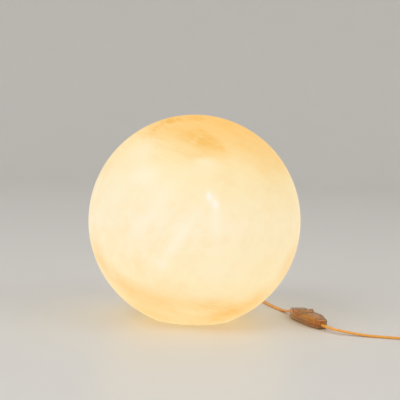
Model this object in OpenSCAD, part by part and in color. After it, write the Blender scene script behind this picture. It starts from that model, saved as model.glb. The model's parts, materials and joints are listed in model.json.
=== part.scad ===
// Globe table lamp: a blown glass ball cut flat underneath, standing over a pressed base pan that
// carries an E27 lampholder, with a rocker switch in its flex and a coiled rest of flex to a plug.
// Millimetres, +Z up. The origin is the centre of the globe's flat underside, on the table.
// The flex leaves at the back, +Y, through a notch in the glass.

/* [Globe] */
// Outside diameter of the glass ball
globe_d = 250; // [200:5:320]
// Thickness of the glass
glass_t = 4; // [3:0.5:6]
// Diameter of the flat that is ground under the ball
flat_d = 94; // [92:2:110]
// Diameter of the opening in the flat
opening_d = 80; // [76:2:84]
// Width of the flex notch in the back of the rim
notch_w = 10; // [9:0.5:14]

/* [Base pan] */
// Thickness of the pressed steel
sheet_t = 1.2; // [0.8:0.1:1.6]
// Gap from the pan's flange to the edge of the glass opening
pan_gap = 1.5; // [1:0.25:3]
// Width of the flange round the pan
flange_w = 8; // [7.5:0.5:10]
// Height of the deck that carries the lampholder
deck_z = 22; // [20:1:30]
// Height of the rubber buffers under the flange
buffer_h = 3; // [2:0.5:4]
// Diameter of the rubber buffers
buffer_d = 10; // [9:0.5:11]
// Diameter of the vent holes in the deck
vent_d = 5; // [3:0.5:6]
// Number of vent holes
vents = 6; // [4:1:8]
// Height of the flex's strain relief over the table
relief_z = 8.5; // [8:0.25:10]
// Length of the strain relief outside the pan
relief_l = 37.5; // [34:0.5:50]

/* [Lampholder] */
// Diameter of the threaded nipple
nipple_d = 10; // [9:0.5:10]
// Bore of the nipple
nipple_bore = 7.4; // [7:0.1:7.8]
// Width of the nipple's nuts across the flats
nut_af = 14; // [13:1:17]
// Thickness of the nipple's nuts
nut_t = 3; // [2:0.5:4]
// Outside diameter of the lampholder
holder_d = 40; // [39:1:44]
// Wall of the lampholder's cap and shell
holder_t = 2.2; // [1.8:0.2:2.6]
// Length of the cap's neck
neck_l = 8; // [7:1:12]
// Height of the cap above its neck
cap_l = 16; // [15:1:20]
// Height of the shell above the cap
shell_l = 32; // [28:1:34]
// Thickness of the ceramic core
core_t = 11; // [10:0.5:12]
// Grip ribs round the shell
grip_ribs = 20; // [12:2:24]

/* [Bulb] */
// Diameter of the bulb's glass
bulb_d = 60; // [55:1:66]
// Length of the bulb from tip to top
bulb_l = 105; // [98:1:112]
// Diameter of the bulb's screw cap
cap_d = 26.4; // [26:0.1:26.4]
// Gap all round between the screw cap and the screw shell
screw_gap = 0.3; // [0.2:0.05:0.5]
// Thickness of the bulb's glass
bulb_t = 0.8; // [0.6:0.1:1]

/* [Flex] */
// Width of the flat twin flex
flex_w = 5; // [4:0.5:5]
// Thickness of the flat twin flex
flex_t = 2.5; // [2:0.25:2.5]
// Diameter of one insulated core
core_d = 1.8; // [1.4:0.1:2]

/* [Switch] */
// Length of the switch
switch_l = 74; // [72:1:80]
// Width of the switch at its middle
switch_w = 20; // [19:0.5:24]
// Height of the switch at its middle
switch_h = 14; // [13.5:0.5:16]
// Width of the switch's ends
switch_end_w = 13; // [12:0.5:15]
// Height of the switch's ends
switch_end_h = 12; // [11:0.5:12]
// Wall of the switch's shells
switch_t = 1.6; // [1.2:0.1:1.8]
// Height of the joint between the switch's shells
seam_z = 5; // [4.5:0.25:5.5]
// Width of the rocker
rocker_w = 12; // [11:0.5:12.5]
// Length of the rocker's top
rocker_l = 17; // [15:0.5:18]
// Angle of the rocker either side of level
rocker_tilt = 9; // [6:0.5:10]
// Diameter of the rocker's trunnions
trunnion_d = 2.4; // [2:0.2:2.8]
// Running gap round the trunnions
trunnion_gap = 0.05; // [0.03:0.01:0.08]

/* [Plug] */
// Width of the plug's face
plug_w = 35; // [33:0.5:37]
// Thickness of the plug
plug_t = 13.7; // [13:0.1:15]
// Length of the plug's body
plug_l = 34; // [30:1:38]
// Distance between the plug's pins
pin_gap = 19; // [18:0.5:20]
// Diameter of the plug's pins
pin_d = 4; // [3.8:0.1:4.2]
// Length of the plug's pins
pin_l = 19; // [17:1:21]
// Length of the insulating sleeve on each pin
sleeve_l = 10; // [8:1:11]

/* [Coil] */
// Loops in the coiled rest of the flex
coil_turns = 7.3; // [6.3:1:7.3]
// Radius of the coil's outermost loop
coil_r = 33; // [32:0.5:36]
// Space between two loops side by side
coil_gap = 0.5; // [0.5:0.1:1]
// Space between two layers of the coil
layer_gap = 0.5; // [0.5:0.1:0.8]

/* [Hidden] */
$fn = 48;

fit = 0.1;
seat_gap = 0.3;
over = 1;

// Globe
globe_r = globe_d/2;
centre_z = sqrt(globe_r*globe_r - flat_d*flat_d/4);

// Base pan
flange_r = opening_d/2 - pan_gap;
riser_r = flange_r - flange_w;
flange_z = buffer_h + sheet_t;
foot_bend = 0.8;
deck_bend = 3;
buffer_c = opening_d/2 - seat_gap - buffer_d/2;
buffer_head_d = 6.6;
buffer_stem_d = 5;
buffer_head_h = 1.4;
buffer_angles = [-90, 30, 150];
vent_c = 20;

// Strain relief of the flex
relief_neck_d = 6;
relief_root_d = 8;
relief_tip_d = 6.4;
relief_collar_t = 1.5;
wall_r = riser_r - sheet_t;
relief_seat = sqrt(wall_r*wall_r - relief_root_d*relief_root_d/4);
relief_grooves = 5;
inner_bend = 8;
relief_tip_y = riser_r + relief_l;

// Nipple, nuts and washer
nut_under_z = deck_z - sheet_t - nut_t;
washer_t = 1;
washer_d = 18;
nut_over_z = deck_z + washer_t;
nipple_low_z = nut_under_z - 4.8;
holder_z = nut_over_z + nut_t;

// Lampholder
neck_d = 18;
shoulder_l = 7;
core_seat_z = holder_z + neck_l + cap_l - 7;
core_top_z = core_seat_z + core_t;
seam_holder_z = holder_z + neck_l + cap_l;
core_r = holder_d/2 - holder_t - 0.4;
shell_inner_r = core_r - 1;
nipple_top_z = holder_z + neck_l + 1.5;
screw_shell_r = cap_d/2 + screw_gap;
terminal_x = screw_shell_r - 4.5;
screw_head_d = 5.5;
screw_head_t = 2;
screw_d = 3;
strip_t = 0.5;
strip_w = 5;
screw_shell_h = 24;
grub_d = 3;

// Bulb
contact_h = 2.9;
tip_z = core_top_z + contact_h + fit;
tip_t = 1;
insulator_h = 4;
cap_h = 22;
cap_t = 0.4;
cap_low_z = tip_z + tip_t + insulator_h;
cap_top_z = cap_low_z + cap_h;
bulb_r = bulb_d/2;
bulb_c = tip_z + bulb_l - bulb_r;
neck_r = cap_d/2;
stem_top_z = bulb_c - 14;
filament_z = bulb_c + 4;
filament_r = 11;
filament_d = 1;
filament_half = 150;

// Switch, in its own frame: x runs along it towards the plug, its floor is z = 0
switch_at = [136.5, -16];
switch_turn = -69;
end_r = 3;
mid_r = 4.5;
low_r = 2.5;
low_sides = 16;
low_z = low_r*cos(180/low_sides);
mid_x = 20;
flex_slack = 0.1;
clamp_x = 31;
clamp_t = 2;
bare_x = 28;
rocker_x = -6;
pivot_z = 10.5;
rocker_crown = 3.75;
rocker_reach = norm([rocker_l/2, rocker_crown + rocker_l/2*tan(rocker_tilt)]);
window_l = 2*(rocker_reach + 0.15);
window_w = rocker_w + 0.5;
cheek_t = 1.6;
cheek_l = 7;
switch_screw_at = [[-24, 5], [24, 5]];
boss_d = 5.4;
shell_screw_d = 2.2;
shell_screw_head_d = 4.5;
shell_screw_head_t = 1.8;
shell_screw_top = 11;
terminal_y = -4.5;
terminal_at = [-19.5, 12];
terminal_l = 5;
terminal_w = 4;
terminal_top = 6;
button_x = -10;
button_h = 0.8;
blade_z = 5.4;

// Plug, in its own frame: x runs to its pins
plug_at = [302, 0];
plug_turn = 96;
plug_relief_l = 16;
plug_rear_w = 15;
plug_rear_t = 10;
plug_face_t = 10;
pin_core_d = 2.6;

// Coil
coil_at = [284, -66];
coil_start = -102;
layer_turns = 2;
rings_a_turn = 24;
coil_pitch = flex_w + coil_gap;
layer_h = flex_t + layer_gap;
climb = 0.5;

// Routes of the free flex, each point chosen by hand along its centre line
lead_route = [[0, 75, 8.4], [0, 81, 7.6], [0, 87, 6], [0, 93, 4], [0, 99, 2.2], [0, 105, 1.3],
    [0.6, 112, 1.25], [2.6, 119, 1.25], [7, 127, 1.25], [14, 134, 1.25], [23, 139.5, 1.25],
    [34, 143, 1.25], [46, 144, 1.25], [58, 143, 1.25], [69, 139.5, 1.25], [78.5, 133.5, 1.25],
    [85.5, 126, 1.25], [89.8, 117, 1.25], [92, 108, 1.25], [94, 98, 1.25], [97, 88, 1.25],
    [100.5, 78, 1.25], [104, 68, 1.25], [107.8, 58.5, 1.25], [111.6, 49.5, 1.45],
    [115, 41, 2.5], [118, 32.5, 3.9]];
main_route = [[154, -60.3, 4.95], [157.3, -65.2, 4.8], [161.8, -69.6, 4.5], [167.6, -73.1, 4],
    [174.6, -76, 3.3], [182.8, -78.5, 2.5], [191.8, -80.8, 1.8], [201, -83, 1.35],
    [210, -85.2, 1.25], [219, -87.1, 1.25], [228, -88.8, 1.25], [239, -90.8, 1.25],
    [250, -92.8, 1.25], [261, -94.8, 1.25]];
tail_route = [[309.4, -42, 10.1], [307.2, -31, 9.3], [305.2, -21, 8.1], [303.5, -12, 7.2]];

// Points on an arc in a profile, as radius and height
function arc(c, r, from, to, n = 8) =
    [for (i = [0:n]) let (a = from + (to - from)*i/n) [c.x + r*cos(a), c.y + r*sin(a)]];

// Direction of a route at one of its points
function way(route, i) = let (a = route[max(i - 1, 0)], b = route[min(i + 1, len(route) - 1)])
    (b - a)/norm(b - a);
function level_side(d) = [d.y, -d.x, 0]/norm([d.x, d.y]);
function flat_outline(n) = n == 6
    ? [for (s = [-1, 1]) each [[-s, 0]*flex_w/2, [-s*0.26*flex_w, s*flex_t/2],
        [s*0.26*flex_w, s*flex_t/2]]]
    : [for (s = [-1, 1]) each [[-s*flex_w/2, -s*0.22*flex_t], [-s*flex_w/2, s*0.22*flex_t],
        [-s*0.32*flex_w, s*flex_t/2], [s*0.32*flex_w, s*flex_t/2]]];

// A tube along a route. Its outline lies across the route, and side says which way its width goes.
module tube(route, outline, side = undef) {
    n = len(outline);
    last = len(route) - 1;
    points = [for (i = [0:last]) let (d = way(route, i), s = is_undef(side) ? level_side(d) : side,
        u = cross(s, d)) for (p = outline) route[i] + s*p.x + u*p.y];
    walls = [for (i = [0:last - 1], k = [0:n - 1]) let (a = i*n + k, b = i*n + (k + 1)%n)
        each [[a, b, b + n], [a, b + n, a + n]]];
    ends = [for (k = [1:n - 2]) each [[0, k + 1, k], [last*n, last*n + k, last*n + k + 1]]];
    polyhedron(points, concat(walls, ends));
}
function round_outline(d, n = 8) = [for (k = [0:n - 1]) d/2*[cos(-360*k/n), sin(-360*k/n)]];

// A straight round rod from one point to another
module rod(a, b, d) {
    v = b - a;
    translate(a)
        rotate([0, acos(v.z/norm(v)), atan2(v.y, v.x)])
            cylinder(h = norm(v), d = d, $fn = 24);
}

// Glass ball, open underneath, with an arched notch at the back for the flex
module globe() color([0.98, 0.9, 0.72, 0.7]) difference() {
    translate([0, 0, centre_z]) sphere(r = globe_r, $fn = 96);
    translate([0, 0, centre_z]) sphere(r = globe_r - glass_t, $fn = 96);
    translate([0, 0, -globe_d]) cylinder(h = globe_d, d = globe_d);
    translate([0, 0, -over]) cylinder(h = glass_t + over, d = opening_d);
    translate([-notch_w/2, 0, -over]) cube([notch_w, globe_r, relief_z + over]);
    translate([0, 0, relief_z]) rotate([-90, 0, 0]) cylinder(h = globe_r, d = notch_w);
}

// Pressed pan, with a keyed hole for the strain relief at the back
module base_pan() color("silver") difference() {
    rotate_extrude($fn = 96) polygon(concat([[0, deck_z]],
        arc([riser_r - deck_bend, deck_z - deck_bend], deck_bend, 90, 0, 5),
        arc([riser_r + foot_bend, flange_z + foot_bend], foot_bend, 180, 270, 3),
        [[flange_r, flange_z], [flange_r, buffer_h]],
        arc([riser_r + foot_bend, flange_z + foot_bend], foot_bend + sheet_t, 270, 180, 4),
        arc([riser_r - deck_bend, deck_z - deck_bend], deck_bend - sheet_t, 0, 90, 5),
        [[0, deck_z - sheet_t]]));
    translate([0, 0, deck_z/2]) cylinder(h = deck_z, d = nipple_d + 2*fit);
    for (i = [0:vents - 1]) rotate([0, 0, 180/vents + 360*i/vents])
        translate([vent_c, 0, deck_z/2]) cylinder(h = deck_z, d = vent_d);
    for (a = buffer_angles) rotate([0, 0, a])
        translate([buffer_c, 0, 0]) cylinder(h = deck_z/2, d = buffer_stem_d + 2*fit);
    translate([0, 0, relief_z]) rotate([-90, 0, 0])
        cylinder(h = flange_r, d = relief_neck_d + 2*fit);
    translate([-notch_w/2, riser_r, 0]) cube([notch_w, flange_w + over, deck_z/2]);
}

// Three buffers under the flange, which also centre the glass opening
module rubber_buffers() color("dimgray") for (a = buffer_angles) rotate([0, 0, a])
    translate([buffer_c, 0, 0]) {
        cylinder(h = buffer_h, d = buffer_d);
        cylinder(h = flange_z + buffer_head_h, d = buffer_stem_d);
        translate([0, 0, flange_z]) cylinder(h = buffer_head_h, d1 = buffer_head_d, d2 = buffer_stem_d);
    }

// Tapered rubber boot, snapped into the pan's wall, that the flex leaves through
module strain_relief() color("dimgray") translate([0, 0, relief_z]) rotate([-90, 0, 0])
    difference() {
        union() {
            translate([0, 0, relief_seat - relief_collar_t])
                cylinder(h = relief_collar_t, d = relief_root_d);
            translate([0, 0, relief_seat - relief_collar_t])
                cylinder(h = sheet_t + 2*relief_collar_t, d = relief_neck_d);
            translate([0, 0, riser_r]) cylinder(h = relief_l, d1 = relief_root_d, d2 = relief_tip_d);
        }
        translate([0, 0, riser_r/2]) linear_extrude(riser_r + relief_l)
            square([flex_w + fit, flex_t + fit], center = true);
        for (i = [0:relief_grooves - 1]) translate([0, 0, riser_r + 12 + 4.5*i]) difference() {
            cylinder(h = 1.2, d = relief_root_d + over);
            cylinder(h = 1.2, d = flex_w + 1);
        }
    }

// Flex held inside the lamp, from the lampholder down the nipple and out through the boot
module inner_lead() color("goldenrod") tube(concat(
    [[0, 0, nipple_top_z + 1]],
    [for (a = [0:15:90]) [0, inner_bend*(1 - cos(a)), relief_z + inner_bend*(1 - sin(a))]],
    [[0, riser_r - 4, relief_z], [0, relief_tip_y, relief_z]]), flat_outline(8), [1, 0, 0]);

module nipple() color("silver") difference() {
    translate([0, 0, nipple_low_z]) cylinder(h = nipple_top_z - nipple_low_z, d = nipple_d);
    translate([0, 0, nipple_low_z - over])
        cylinder(h = nipple_top_z - nipple_low_z + 2*over, d = nipple_bore);
}

module nipple_nut(z) color("silver") translate([0, 0, z]) difference() {
    intersection() {
        cylinder(h = nut_t, d = nut_af/cos(30), $fn = 6);
        cylinder(h = nut_t, d1 = nut_af + 2*nut_t, d2 = nut_af*1.06);
    }
    translate([0, 0, -over]) cylinder(h = nut_t + 2*over, d = nipple_d + fit);
}
module lower_nut() nipple_nut(nut_under_z);
module upper_nut() nipple_nut(nut_over_z);

// Toothed washer between the deck and the upper nut
module lock_washer() color("silver") translate([0, 0, deck_z]) difference() {
    cylinder(h = washer_t, d = washer_d);
    translate([0, 0, -over]) cylinder(h = washer_t + 2*over, d = nipple_d + 3*fit);
    for (i = [0:11]) rotate([0, 0, 30*i]) translate([washer_d/2, 0, -over])
        cylinder(h = washer_t + 2*over, d = 2);
}

// Cap of the lampholder, screwed down on the nipple
module holder_cap() color("ivory") difference() {
    translate([0, 0, holder_z]) rotate_extrude() polygon(concat(
        [[nipple_d/2 + fit/2, 0], [neck_d/2, 0], [neck_d/2, neck_l - 1]],
        arc([holder_d/2 - shoulder_l, neck_l + shoulder_l - 1], shoulder_l, -90, 0, 7),
        [[holder_d/2, neck_l + cap_l], [core_r + 0.4, neck_l + cap_l],
        [core_r + 0.4, core_seat_z - holder_z], [core_r - 2, core_seat_z - holder_z]],
        arc([core_r - 6, neck_l + 6], 4, 0, -90, 5), [[nipple_d/2 + fit/2, neck_l + 2]]));
    translate([0, 0, holder_z + neck_l/2]) rotate([0, 90, 0]) cylinder(h = neck_d, d = grub_d + fit);
}

// Grub screw that locks the cap on the nipple
module grub_screw() color("dimgray") difference() {
    translate([nipple_d/2 + fit, 0, holder_z + neck_l/2]) rotate([0, 90, 0])
        cylinder(h = (neck_d - nipple_d)/2 - 0.4, d = grub_d);
    translate([neck_d/2 - 1, -grub_d/2, holder_z + neck_l/2 - 0.3]) cube([2, grub_d, 0.6]);
}

// Ceramic core with two screw bores, a waist and wire pockets
module holder_core() color("white") difference() {
    translate([0, 0, core_seat_z]) cylinder(h = core_t, r = core_r);
    for (s = [-1, 1]) {
        translate([s*terminal_x, 0, core_seat_z - over]) cylinder(h = core_t + 2*over, d = screw_d + fit);
        translate([-3, s*(core_r - 3.5) - 2.5, core_seat_z - over]) cube([6, 5, core_t - 3]);
    }
}

// Two screws that clamp the cores of the flex under the ceramic
module terminal_screws() color("gold") for (s = [-1, 1]) translate([s*terminal_x, 0, 0]) {
    translate([0, 0, core_seat_z]) cylinder(h = core_t - 0.2, d = screw_d);
    difference() {
        translate([0, 0, core_seat_z - screw_head_t]) cylinder(h = screw_head_t, d = screw_head_d);
        translate([-screw_head_d/2, 1, core_seat_z - screw_head_t - over])
            cube([screw_head_d, 0.8, 0.8 + over]);
    }
}

// The two cores of the flex, from its cut end to the screws
module holder_wires() color("goldenrod") for (s = [-1, 1]) let (z = nipple_top_z + 1,
    top = core_seat_z - screw_head_t)
    tube([[s*1.25, 0, z], [s*1.25, 0, z + 0.5], [s*1.8, 0, z + 1.2], [s*3.6, 0, z + 2], [s*6.2, 0, z + 2.2],
        [s*8, 0, (z + top)/2 + 0.6], [s*terminal_x, 0, top - 1], [s*terminal_x, 0, top]],
        round_outline(core_d), [0, 1, 0]);

// Sprung tongue under the bulb's tip
module centre_contact() color("gold") translate([0, strip_w/2, core_top_z]) rotate([90, 0, 0])
    linear_extrude(strip_w) polygon(concat([[-terminal_x - 2, 0], [-terminal_x - 2, strip_t],
        [-terminal_x + 2.5, strip_t]], arc([0, contact_h - 6], 6, 128, 62, 6),
        arc([0, contact_h - 6], 6 - strip_t, 62, 128, 6), [[-terminal_x + 3, 0]]));

// Thin brass sleeve that takes the bulb's screw cap, with its tab to the other screw
module screw_shell() color("gold") translate([0, 0, core_top_z]) {
    difference() {
        cylinder(h = screw_shell_h, r = screw_shell_r + strip_t);
        translate([0, 0, strip_t]) cylinder(h = screw_shell_h, r = screw_shell_r);
        translate([0, 0, -over]) cylinder(h = screw_shell_h, r = screw_shell_r - 1.8);
    }
    translate([terminal_x - 2.5, -strip_w/2, 0])
        cube([screw_shell_r - terminal_x + 2, strip_w, strip_t]);
}

// Ribbed shell that clamps the core in the cap and guards the bulb's screw cap
module holder_shell() color("ivory") translate([0, 0, seam_holder_z]) {
    inner_z = core_top_z - seam_holder_z;
    rotate_extrude() polygon(concat(
        [[core_r + 0.2, 0], [holder_d/2, 0], [holder_d/2, 3], [holder_d/2 - 0.8, 3.8]],
        arc([holder_d/2 - 3.8, shell_l - 3], 3, 0, 90, 5),
        [[shell_inner_r - 0.6, shell_l], [shell_inner_r - 0.6, shell_l - 1.5],
        [shell_inner_r, shell_l - 3], [shell_inner_r, inner_z], [core_r + 0.2, inner_z]]));
    for (i = [0:grip_ribs - 1]) rotate([0, 0, 360*i/grip_ribs])
        translate([holder_d/2 - 1, 0, 3]) cylinder(h = shell_l - 8, d = 1.2, $fn = 16);
}

// Outline of the bulb's glass, let in by an inset: a neck that flares into a ball
function bulb_outline(inset) = let (h = bulb_c - cap_top_z,
    flare = (h*h + neck_r*neck_r - bulb_r*bulb_r)/(2*(bulb_r - neck_r)),
    meet = atan2(h, neck_r + flare))
    concat(arc([neck_r + flare, cap_top_z], flare + inset, 180, 180 - meet, 6),
        arc([0, bulb_c], bulb_r - inset, -meet, 90, 16));
module bulb_glass() color([1, 1, 1, 0.5]) rotate_extrude() difference() {
    union() {
        polygon(concat([[0, cap_top_z]], bulb_outline(0)));
        translate([0, cap_top_z - 4]) square([neck_r - cap_t - fit, 4]);
    }
    polygon(concat([[0, cap_top_z]], bulb_outline(bulb_t)));
    translate([0, cap_top_z - 4 - over]) square([neck_r - cap_t - fit - bulb_t, 4 + 2*over]);
}

module bulb_cap() color("silver") translate([0, 0, cap_low_z]) difference() {
    cylinder(h = cap_h, d = cap_d);
    translate([0, 0, cap_t]) cylinder(h = cap_h, d = cap_d - 2*cap_t);
    translate([0, 0, -over]) cylinder(h = cap_h, d = cap_d - 8);
}

module bulb_insulator() color("black") translate([0, 0, tip_z + tip_t])
    cylinder(h = insulator_h, d1 = 10, d2 = cap_d - 1);

module bulb_tip() color("silver") translate([0, 0, tip_z])
    rotate_extrude() polygon([[0, 0], [3.5, 0], [4.5, tip_t], [0, tip_t]]);

// Glass stem sealed into the neck, with the button that its hooks stand on
module bulb_stem() color([1, 1, 1, 0.6]) rotate_extrude() polygon(concat(
    [[0, cap_top_z - 2], [neck_r - cap_t - fit - bulb_t - fit, cap_top_z - 2]],
    arc([neck_r - 1.8, cap_top_z + 9], 8.2, 255, 180, 6),
    [[2, cap_top_z + 20], [2, stem_top_z - 3]],
    arc([0, stem_top_z - 1], 3, -40, 90, 5)));

// Two lead wires up to the ends of the filament, and two hooks that hold its middle
module bulb_wires() color("silver") {
    for (s = [-1, 1]) let (a = s*filament_half, reach = filament_r)
        rod([1.6*cos(a), 1.6*sin(a) + s*1.4, cap_top_z + 18],
            [reach*cos(a), reach*sin(a), filament_z - filament_d/2 - 0.05], 0.7);
    for (a = [-50, 50])
        rod([2*cos(a), 2*sin(a), stem_top_z + 1.4],
            [filament_r*cos(a), filament_r*sin(a), filament_z - filament_d/2 - 0.05], 0.5);
}

module filament() color("orange") translate([0, 0, filament_z]) rotate([0, 0, -filament_half])
    rotate_extrude(angle = 2*filament_half) translate([filament_r, 0]) circle(d = filament_d, $fn = 16);

// Places things in the switch's own frame
module at_switch() translate([switch_at.x, switch_at.y, 0]) rotate([0, 0, switch_turn]) children();
function on_switch(x, z) = [switch_at.x + x*cos(switch_turn), switch_at.y + x*sin(switch_turn), z];

// Body of the switch, let in by an inset: rounded, and drawn in at both ends
module switch_form(inset) hull() for (sx = [-1, 1], sy = [-1, 1]) {
    translate([sx*mid_x, sy*(switch_w/2 - mid_r), switch_h - mid_r]) sphere(r = mid_r - inset, $fn = 24);
    translate([sx*mid_x, sy*(switch_w/2 - low_r), low_z]) sphere(r = low_r - inset, $fn = low_sides);
    translate([sx*(switch_l/2 - end_r), sy*(switch_end_w/2 - end_r), switch_end_h - end_r])
        sphere(r = end_r - inset, $fn = 20);
    translate([sx*(switch_l/2 - low_r), sy*(switch_end_w/2 - low_r), low_z])
        sphere(r = low_r - inset, $fn = low_sides);
}
module switch_half(upper) difference() {
    switch_form(0);
    switch_form(switch_t);
    translate([-switch_l, -switch_w, upper ? seam_z - switch_h : seam_z])
        cube([2*switch_l, 2*switch_w, switch_h]);
}
// What is clamped or screwed inside stays within the shell's outline
module inside_switch() intersection() {
    switch_form(switch_t/2);
    children();
}
module flex_slots() for (s = [-1, 1]) translate([s*(switch_l/2 - 2), 0, seam_z])
    cube([8, flex_w + 2*flex_slack, flex_t + 2*flex_slack], center = true);

module switch_base() color([0.9, 0.7, 0.4, 0.8]) at_switch() difference() {
    union() {
        switch_half(false);
        inside_switch() {
            for (p = switch_screw_at) translate([p.x, p.y, 0]) cylinder(h = seam_z, d = boss_d);
            for (s = [-1, 1]) translate([s*clamp_x - clamp_t/2, -switch_w/2, 0])
                cube([clamp_t, switch_w, seam_z - flex_t/2]);
            for (x = terminal_at) translate([x - terminal_l/2 - 1, terminal_y - terminal_w/2, 0])
                cube([terminal_l + 2, terminal_w, switch_t + 0.6]);
        }
    }
    flex_slots();
    for (p = switch_screw_at) translate([p.x, p.y, 0]) {
        translate([0, 0, -over]) cylinder(h = seam_z + 2*over, d = shell_screw_d + 2*fit);
        translate([0, 0, -over])
            cylinder(h = shell_screw_head_t + over + 0.2, d = shell_screw_head_d + 3*fit);
    }
}

module switch_cover() color([0.9, 0.7, 0.4, 0.8]) at_switch() difference() {
    union() {
        switch_half(true);
        inside_switch() {
            for (p = switch_screw_at) translate([p.x, p.y, seam_z]) cylinder(h = switch_h, d = boss_d);
            for (s = [-1, 1]) translate([s*clamp_x - clamp_t/2, -switch_w/2, seam_z + flex_t/2])
                cube([clamp_t, switch_w, switch_h]);
            for (s = [-1, 1]) translate([rocker_x - cheek_l/2,
                s*(window_w/2 + cheek_t/2) - cheek_t/2, pivot_z - trunnion_d])
                cube([cheek_l, cheek_t, switch_h]);
        }
    }
    flex_slots();
    translate([rocker_x - window_l/2, -window_w/2, pivot_z + trunnion_d/2])
        cube([window_l, window_w, switch_h]);
    translate([rocker_x, 0, pivot_z]) rotate([90, 0, 0])
        cylinder(h = window_w + 2*cheek_t + over, d = trunnion_d + 2*trunnion_gap, center = true);
    for (p = switch_screw_at) translate([p.x, p.y, 0])
        cylinder(h = shell_screw_top + 0.5, d = shell_screw_d + fit);
}

// Rocker, shown on: its lamp end is down. Its ends are arcs about the pivot.
module switch_rocker() color([0.95, 0.8, 0.55, 0.9]) at_switch()
    translate([rocker_x, 0, pivot_z]) rotate([0, -rocker_tilt, 0]) {
        rise = rocker_l/2*tan(rocker_tilt);
        corner = atan2(rocker_crown + rise, rocker_l/2);
        translate([0, rocker_w/2, 0]) rotate([90, 0, 0]) linear_extrude(rocker_w)
            polygon(concat([[0, rocker_crown]], arc([0, 0], rocker_reach, corner, -8, 6),
                [[5, -2.2], [-3.7, -2.6], [-4.1, -3.6], [-5.3, -3.6], [-5.7, -2.4]],
                arc([0, 0], rocker_reach, 188, 180 - corner, 6)));
        rotate([90, 0, 0])
            cylinder(h = window_w + 2*cheek_t - 0.3, d = trunnion_d, center = true);
    }

// Strip and round contact on the lamp side
module fixed_contact() color("gold") at_switch() {
    translate([terminal_at[0] + terminal_l/2, terminal_y - terminal_w/2, blade_z - button_h - strip_t])
        cube([button_x + 2.5 - terminal_at[0] - terminal_l/2, terminal_w, strip_t]);
    translate([button_x, terminal_y, blade_z - button_h - strip_t/2])
        cylinder(h = button_h + strip_t/2, d = 3);
    translate([button_x - 1, terminal_y - terminal_w/2, switch_t])
        cube([1, terminal_w, blade_z - button_h - strip_t/2 - switch_t]);
}

// Spring blade that the rocker presses on the round contact
module contact_blade() color("gold") at_switch()
    translate([0, terminal_y + terminal_w/2, 0]) rotate([90, 0, 0]) linear_extrude(terminal_w)
        polygon([[terminal_at[1] - terminal_l/2, blade_z - 1.2],
            [terminal_at[1] - terminal_l/2, blade_z - 0.7], [6.5, blade_z - 0.7],
            [4, blade_z + strip_t], [button_x - 2, blade_z + strip_t], [button_x - 2, blade_z],
            [3.8, blade_z], [6.3, blade_z - 1.2]]);

module switch_terminals() color("gold") at_switch() for (x = terminal_at)
    difference() {
        translate([x - terminal_l/2, terminal_y - terminal_w/2, switch_t + 0.6])
            cube([terminal_l, terminal_w, terminal_top - switch_t - 0.6]);
        translate([x, terminal_y, terminal_top - 2]) cylinder(h = 3, d = 2);
    }

module switch_clamp_screws() color("silver") at_switch() for (x = terminal_at)
    translate([x, terminal_y, terminal_top - 1.9]) difference() {
        union() {
            cylinder(h = 2, d = 1.9);
            translate([0, 0, 1.9]) cylinder(h = 1.3, d = 3.4);
        }
        translate([-2, -0.25, 2.6]) cube([4, 0.5, 1]);
    }

// Ends of the flex inside the switch, and their cores: one runs through, one is switched
module switch_wires() color("goldenrod") at_switch() {
    for (s = [-1, 1]) tube([[s > 0 ? bare_x : -switch_l/2, 0, seam_z],
        [s > 0 ? switch_l/2 : -bare_x, 0, seam_z]], flat_outline(8));
    tube([[-bare_x, 1.25, seam_z], [-25.5, 1.25, seam_z - 0.2], [-22, 1.25, 3.4], [-18, 1.25, 3],
        [18, 1.25, 3], [22, 1.25, 3.4], [25.5, 1.25, seam_z - 0.2], [bare_x, 1.25, seam_z]],
        round_outline(core_d));
    for (s = [-1, 1]) let (x = s > 0 ? terminal_at[1] : terminal_at[0], e = x + s*terminal_l/2)
        tube([[s*bare_x, -1.25, seam_z], [s*(bare_x - 1.5), -1.5, seam_z - 0.1],
            [(s*bare_x + e)/2, -3.4, 4.5], [e + s*1, terminal_y, 4.1], [e, terminal_y, 4.1]],
            round_outline(core_d));
}

module switch_screws() color("silver") at_switch() for (p = switch_screw_at)
    translate([p.x, p.y, 0]) difference() {
        union() {
            translate([0, 0, 0.2]) cylinder(h = shell_screw_head_t, d = shell_screw_head_d);
            cylinder(h = shell_screw_top, d = shell_screw_d);
        }
        translate([0, 0, -over]) cylinder(h = 0.2 + over, d = shell_screw_head_d);
        for (a = [0, 90]) rotate([0, 0, a]) translate([-1.3, -0.3, -over])
            cube([2.6, 0.6, 1.2 + over]);
    }

// Free flex from the lamp to the switch
module lead_flex() color("goldenrod") tube(concat([[0, relief_tip_y, relief_z],
    [0, relief_tip_y + 3, relief_z]], lead_route,
    [on_switch(-switch_l/2 - flex_w, seam_z), on_switch(-switch_l/2, seam_z)]), flat_outline(8));

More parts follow.
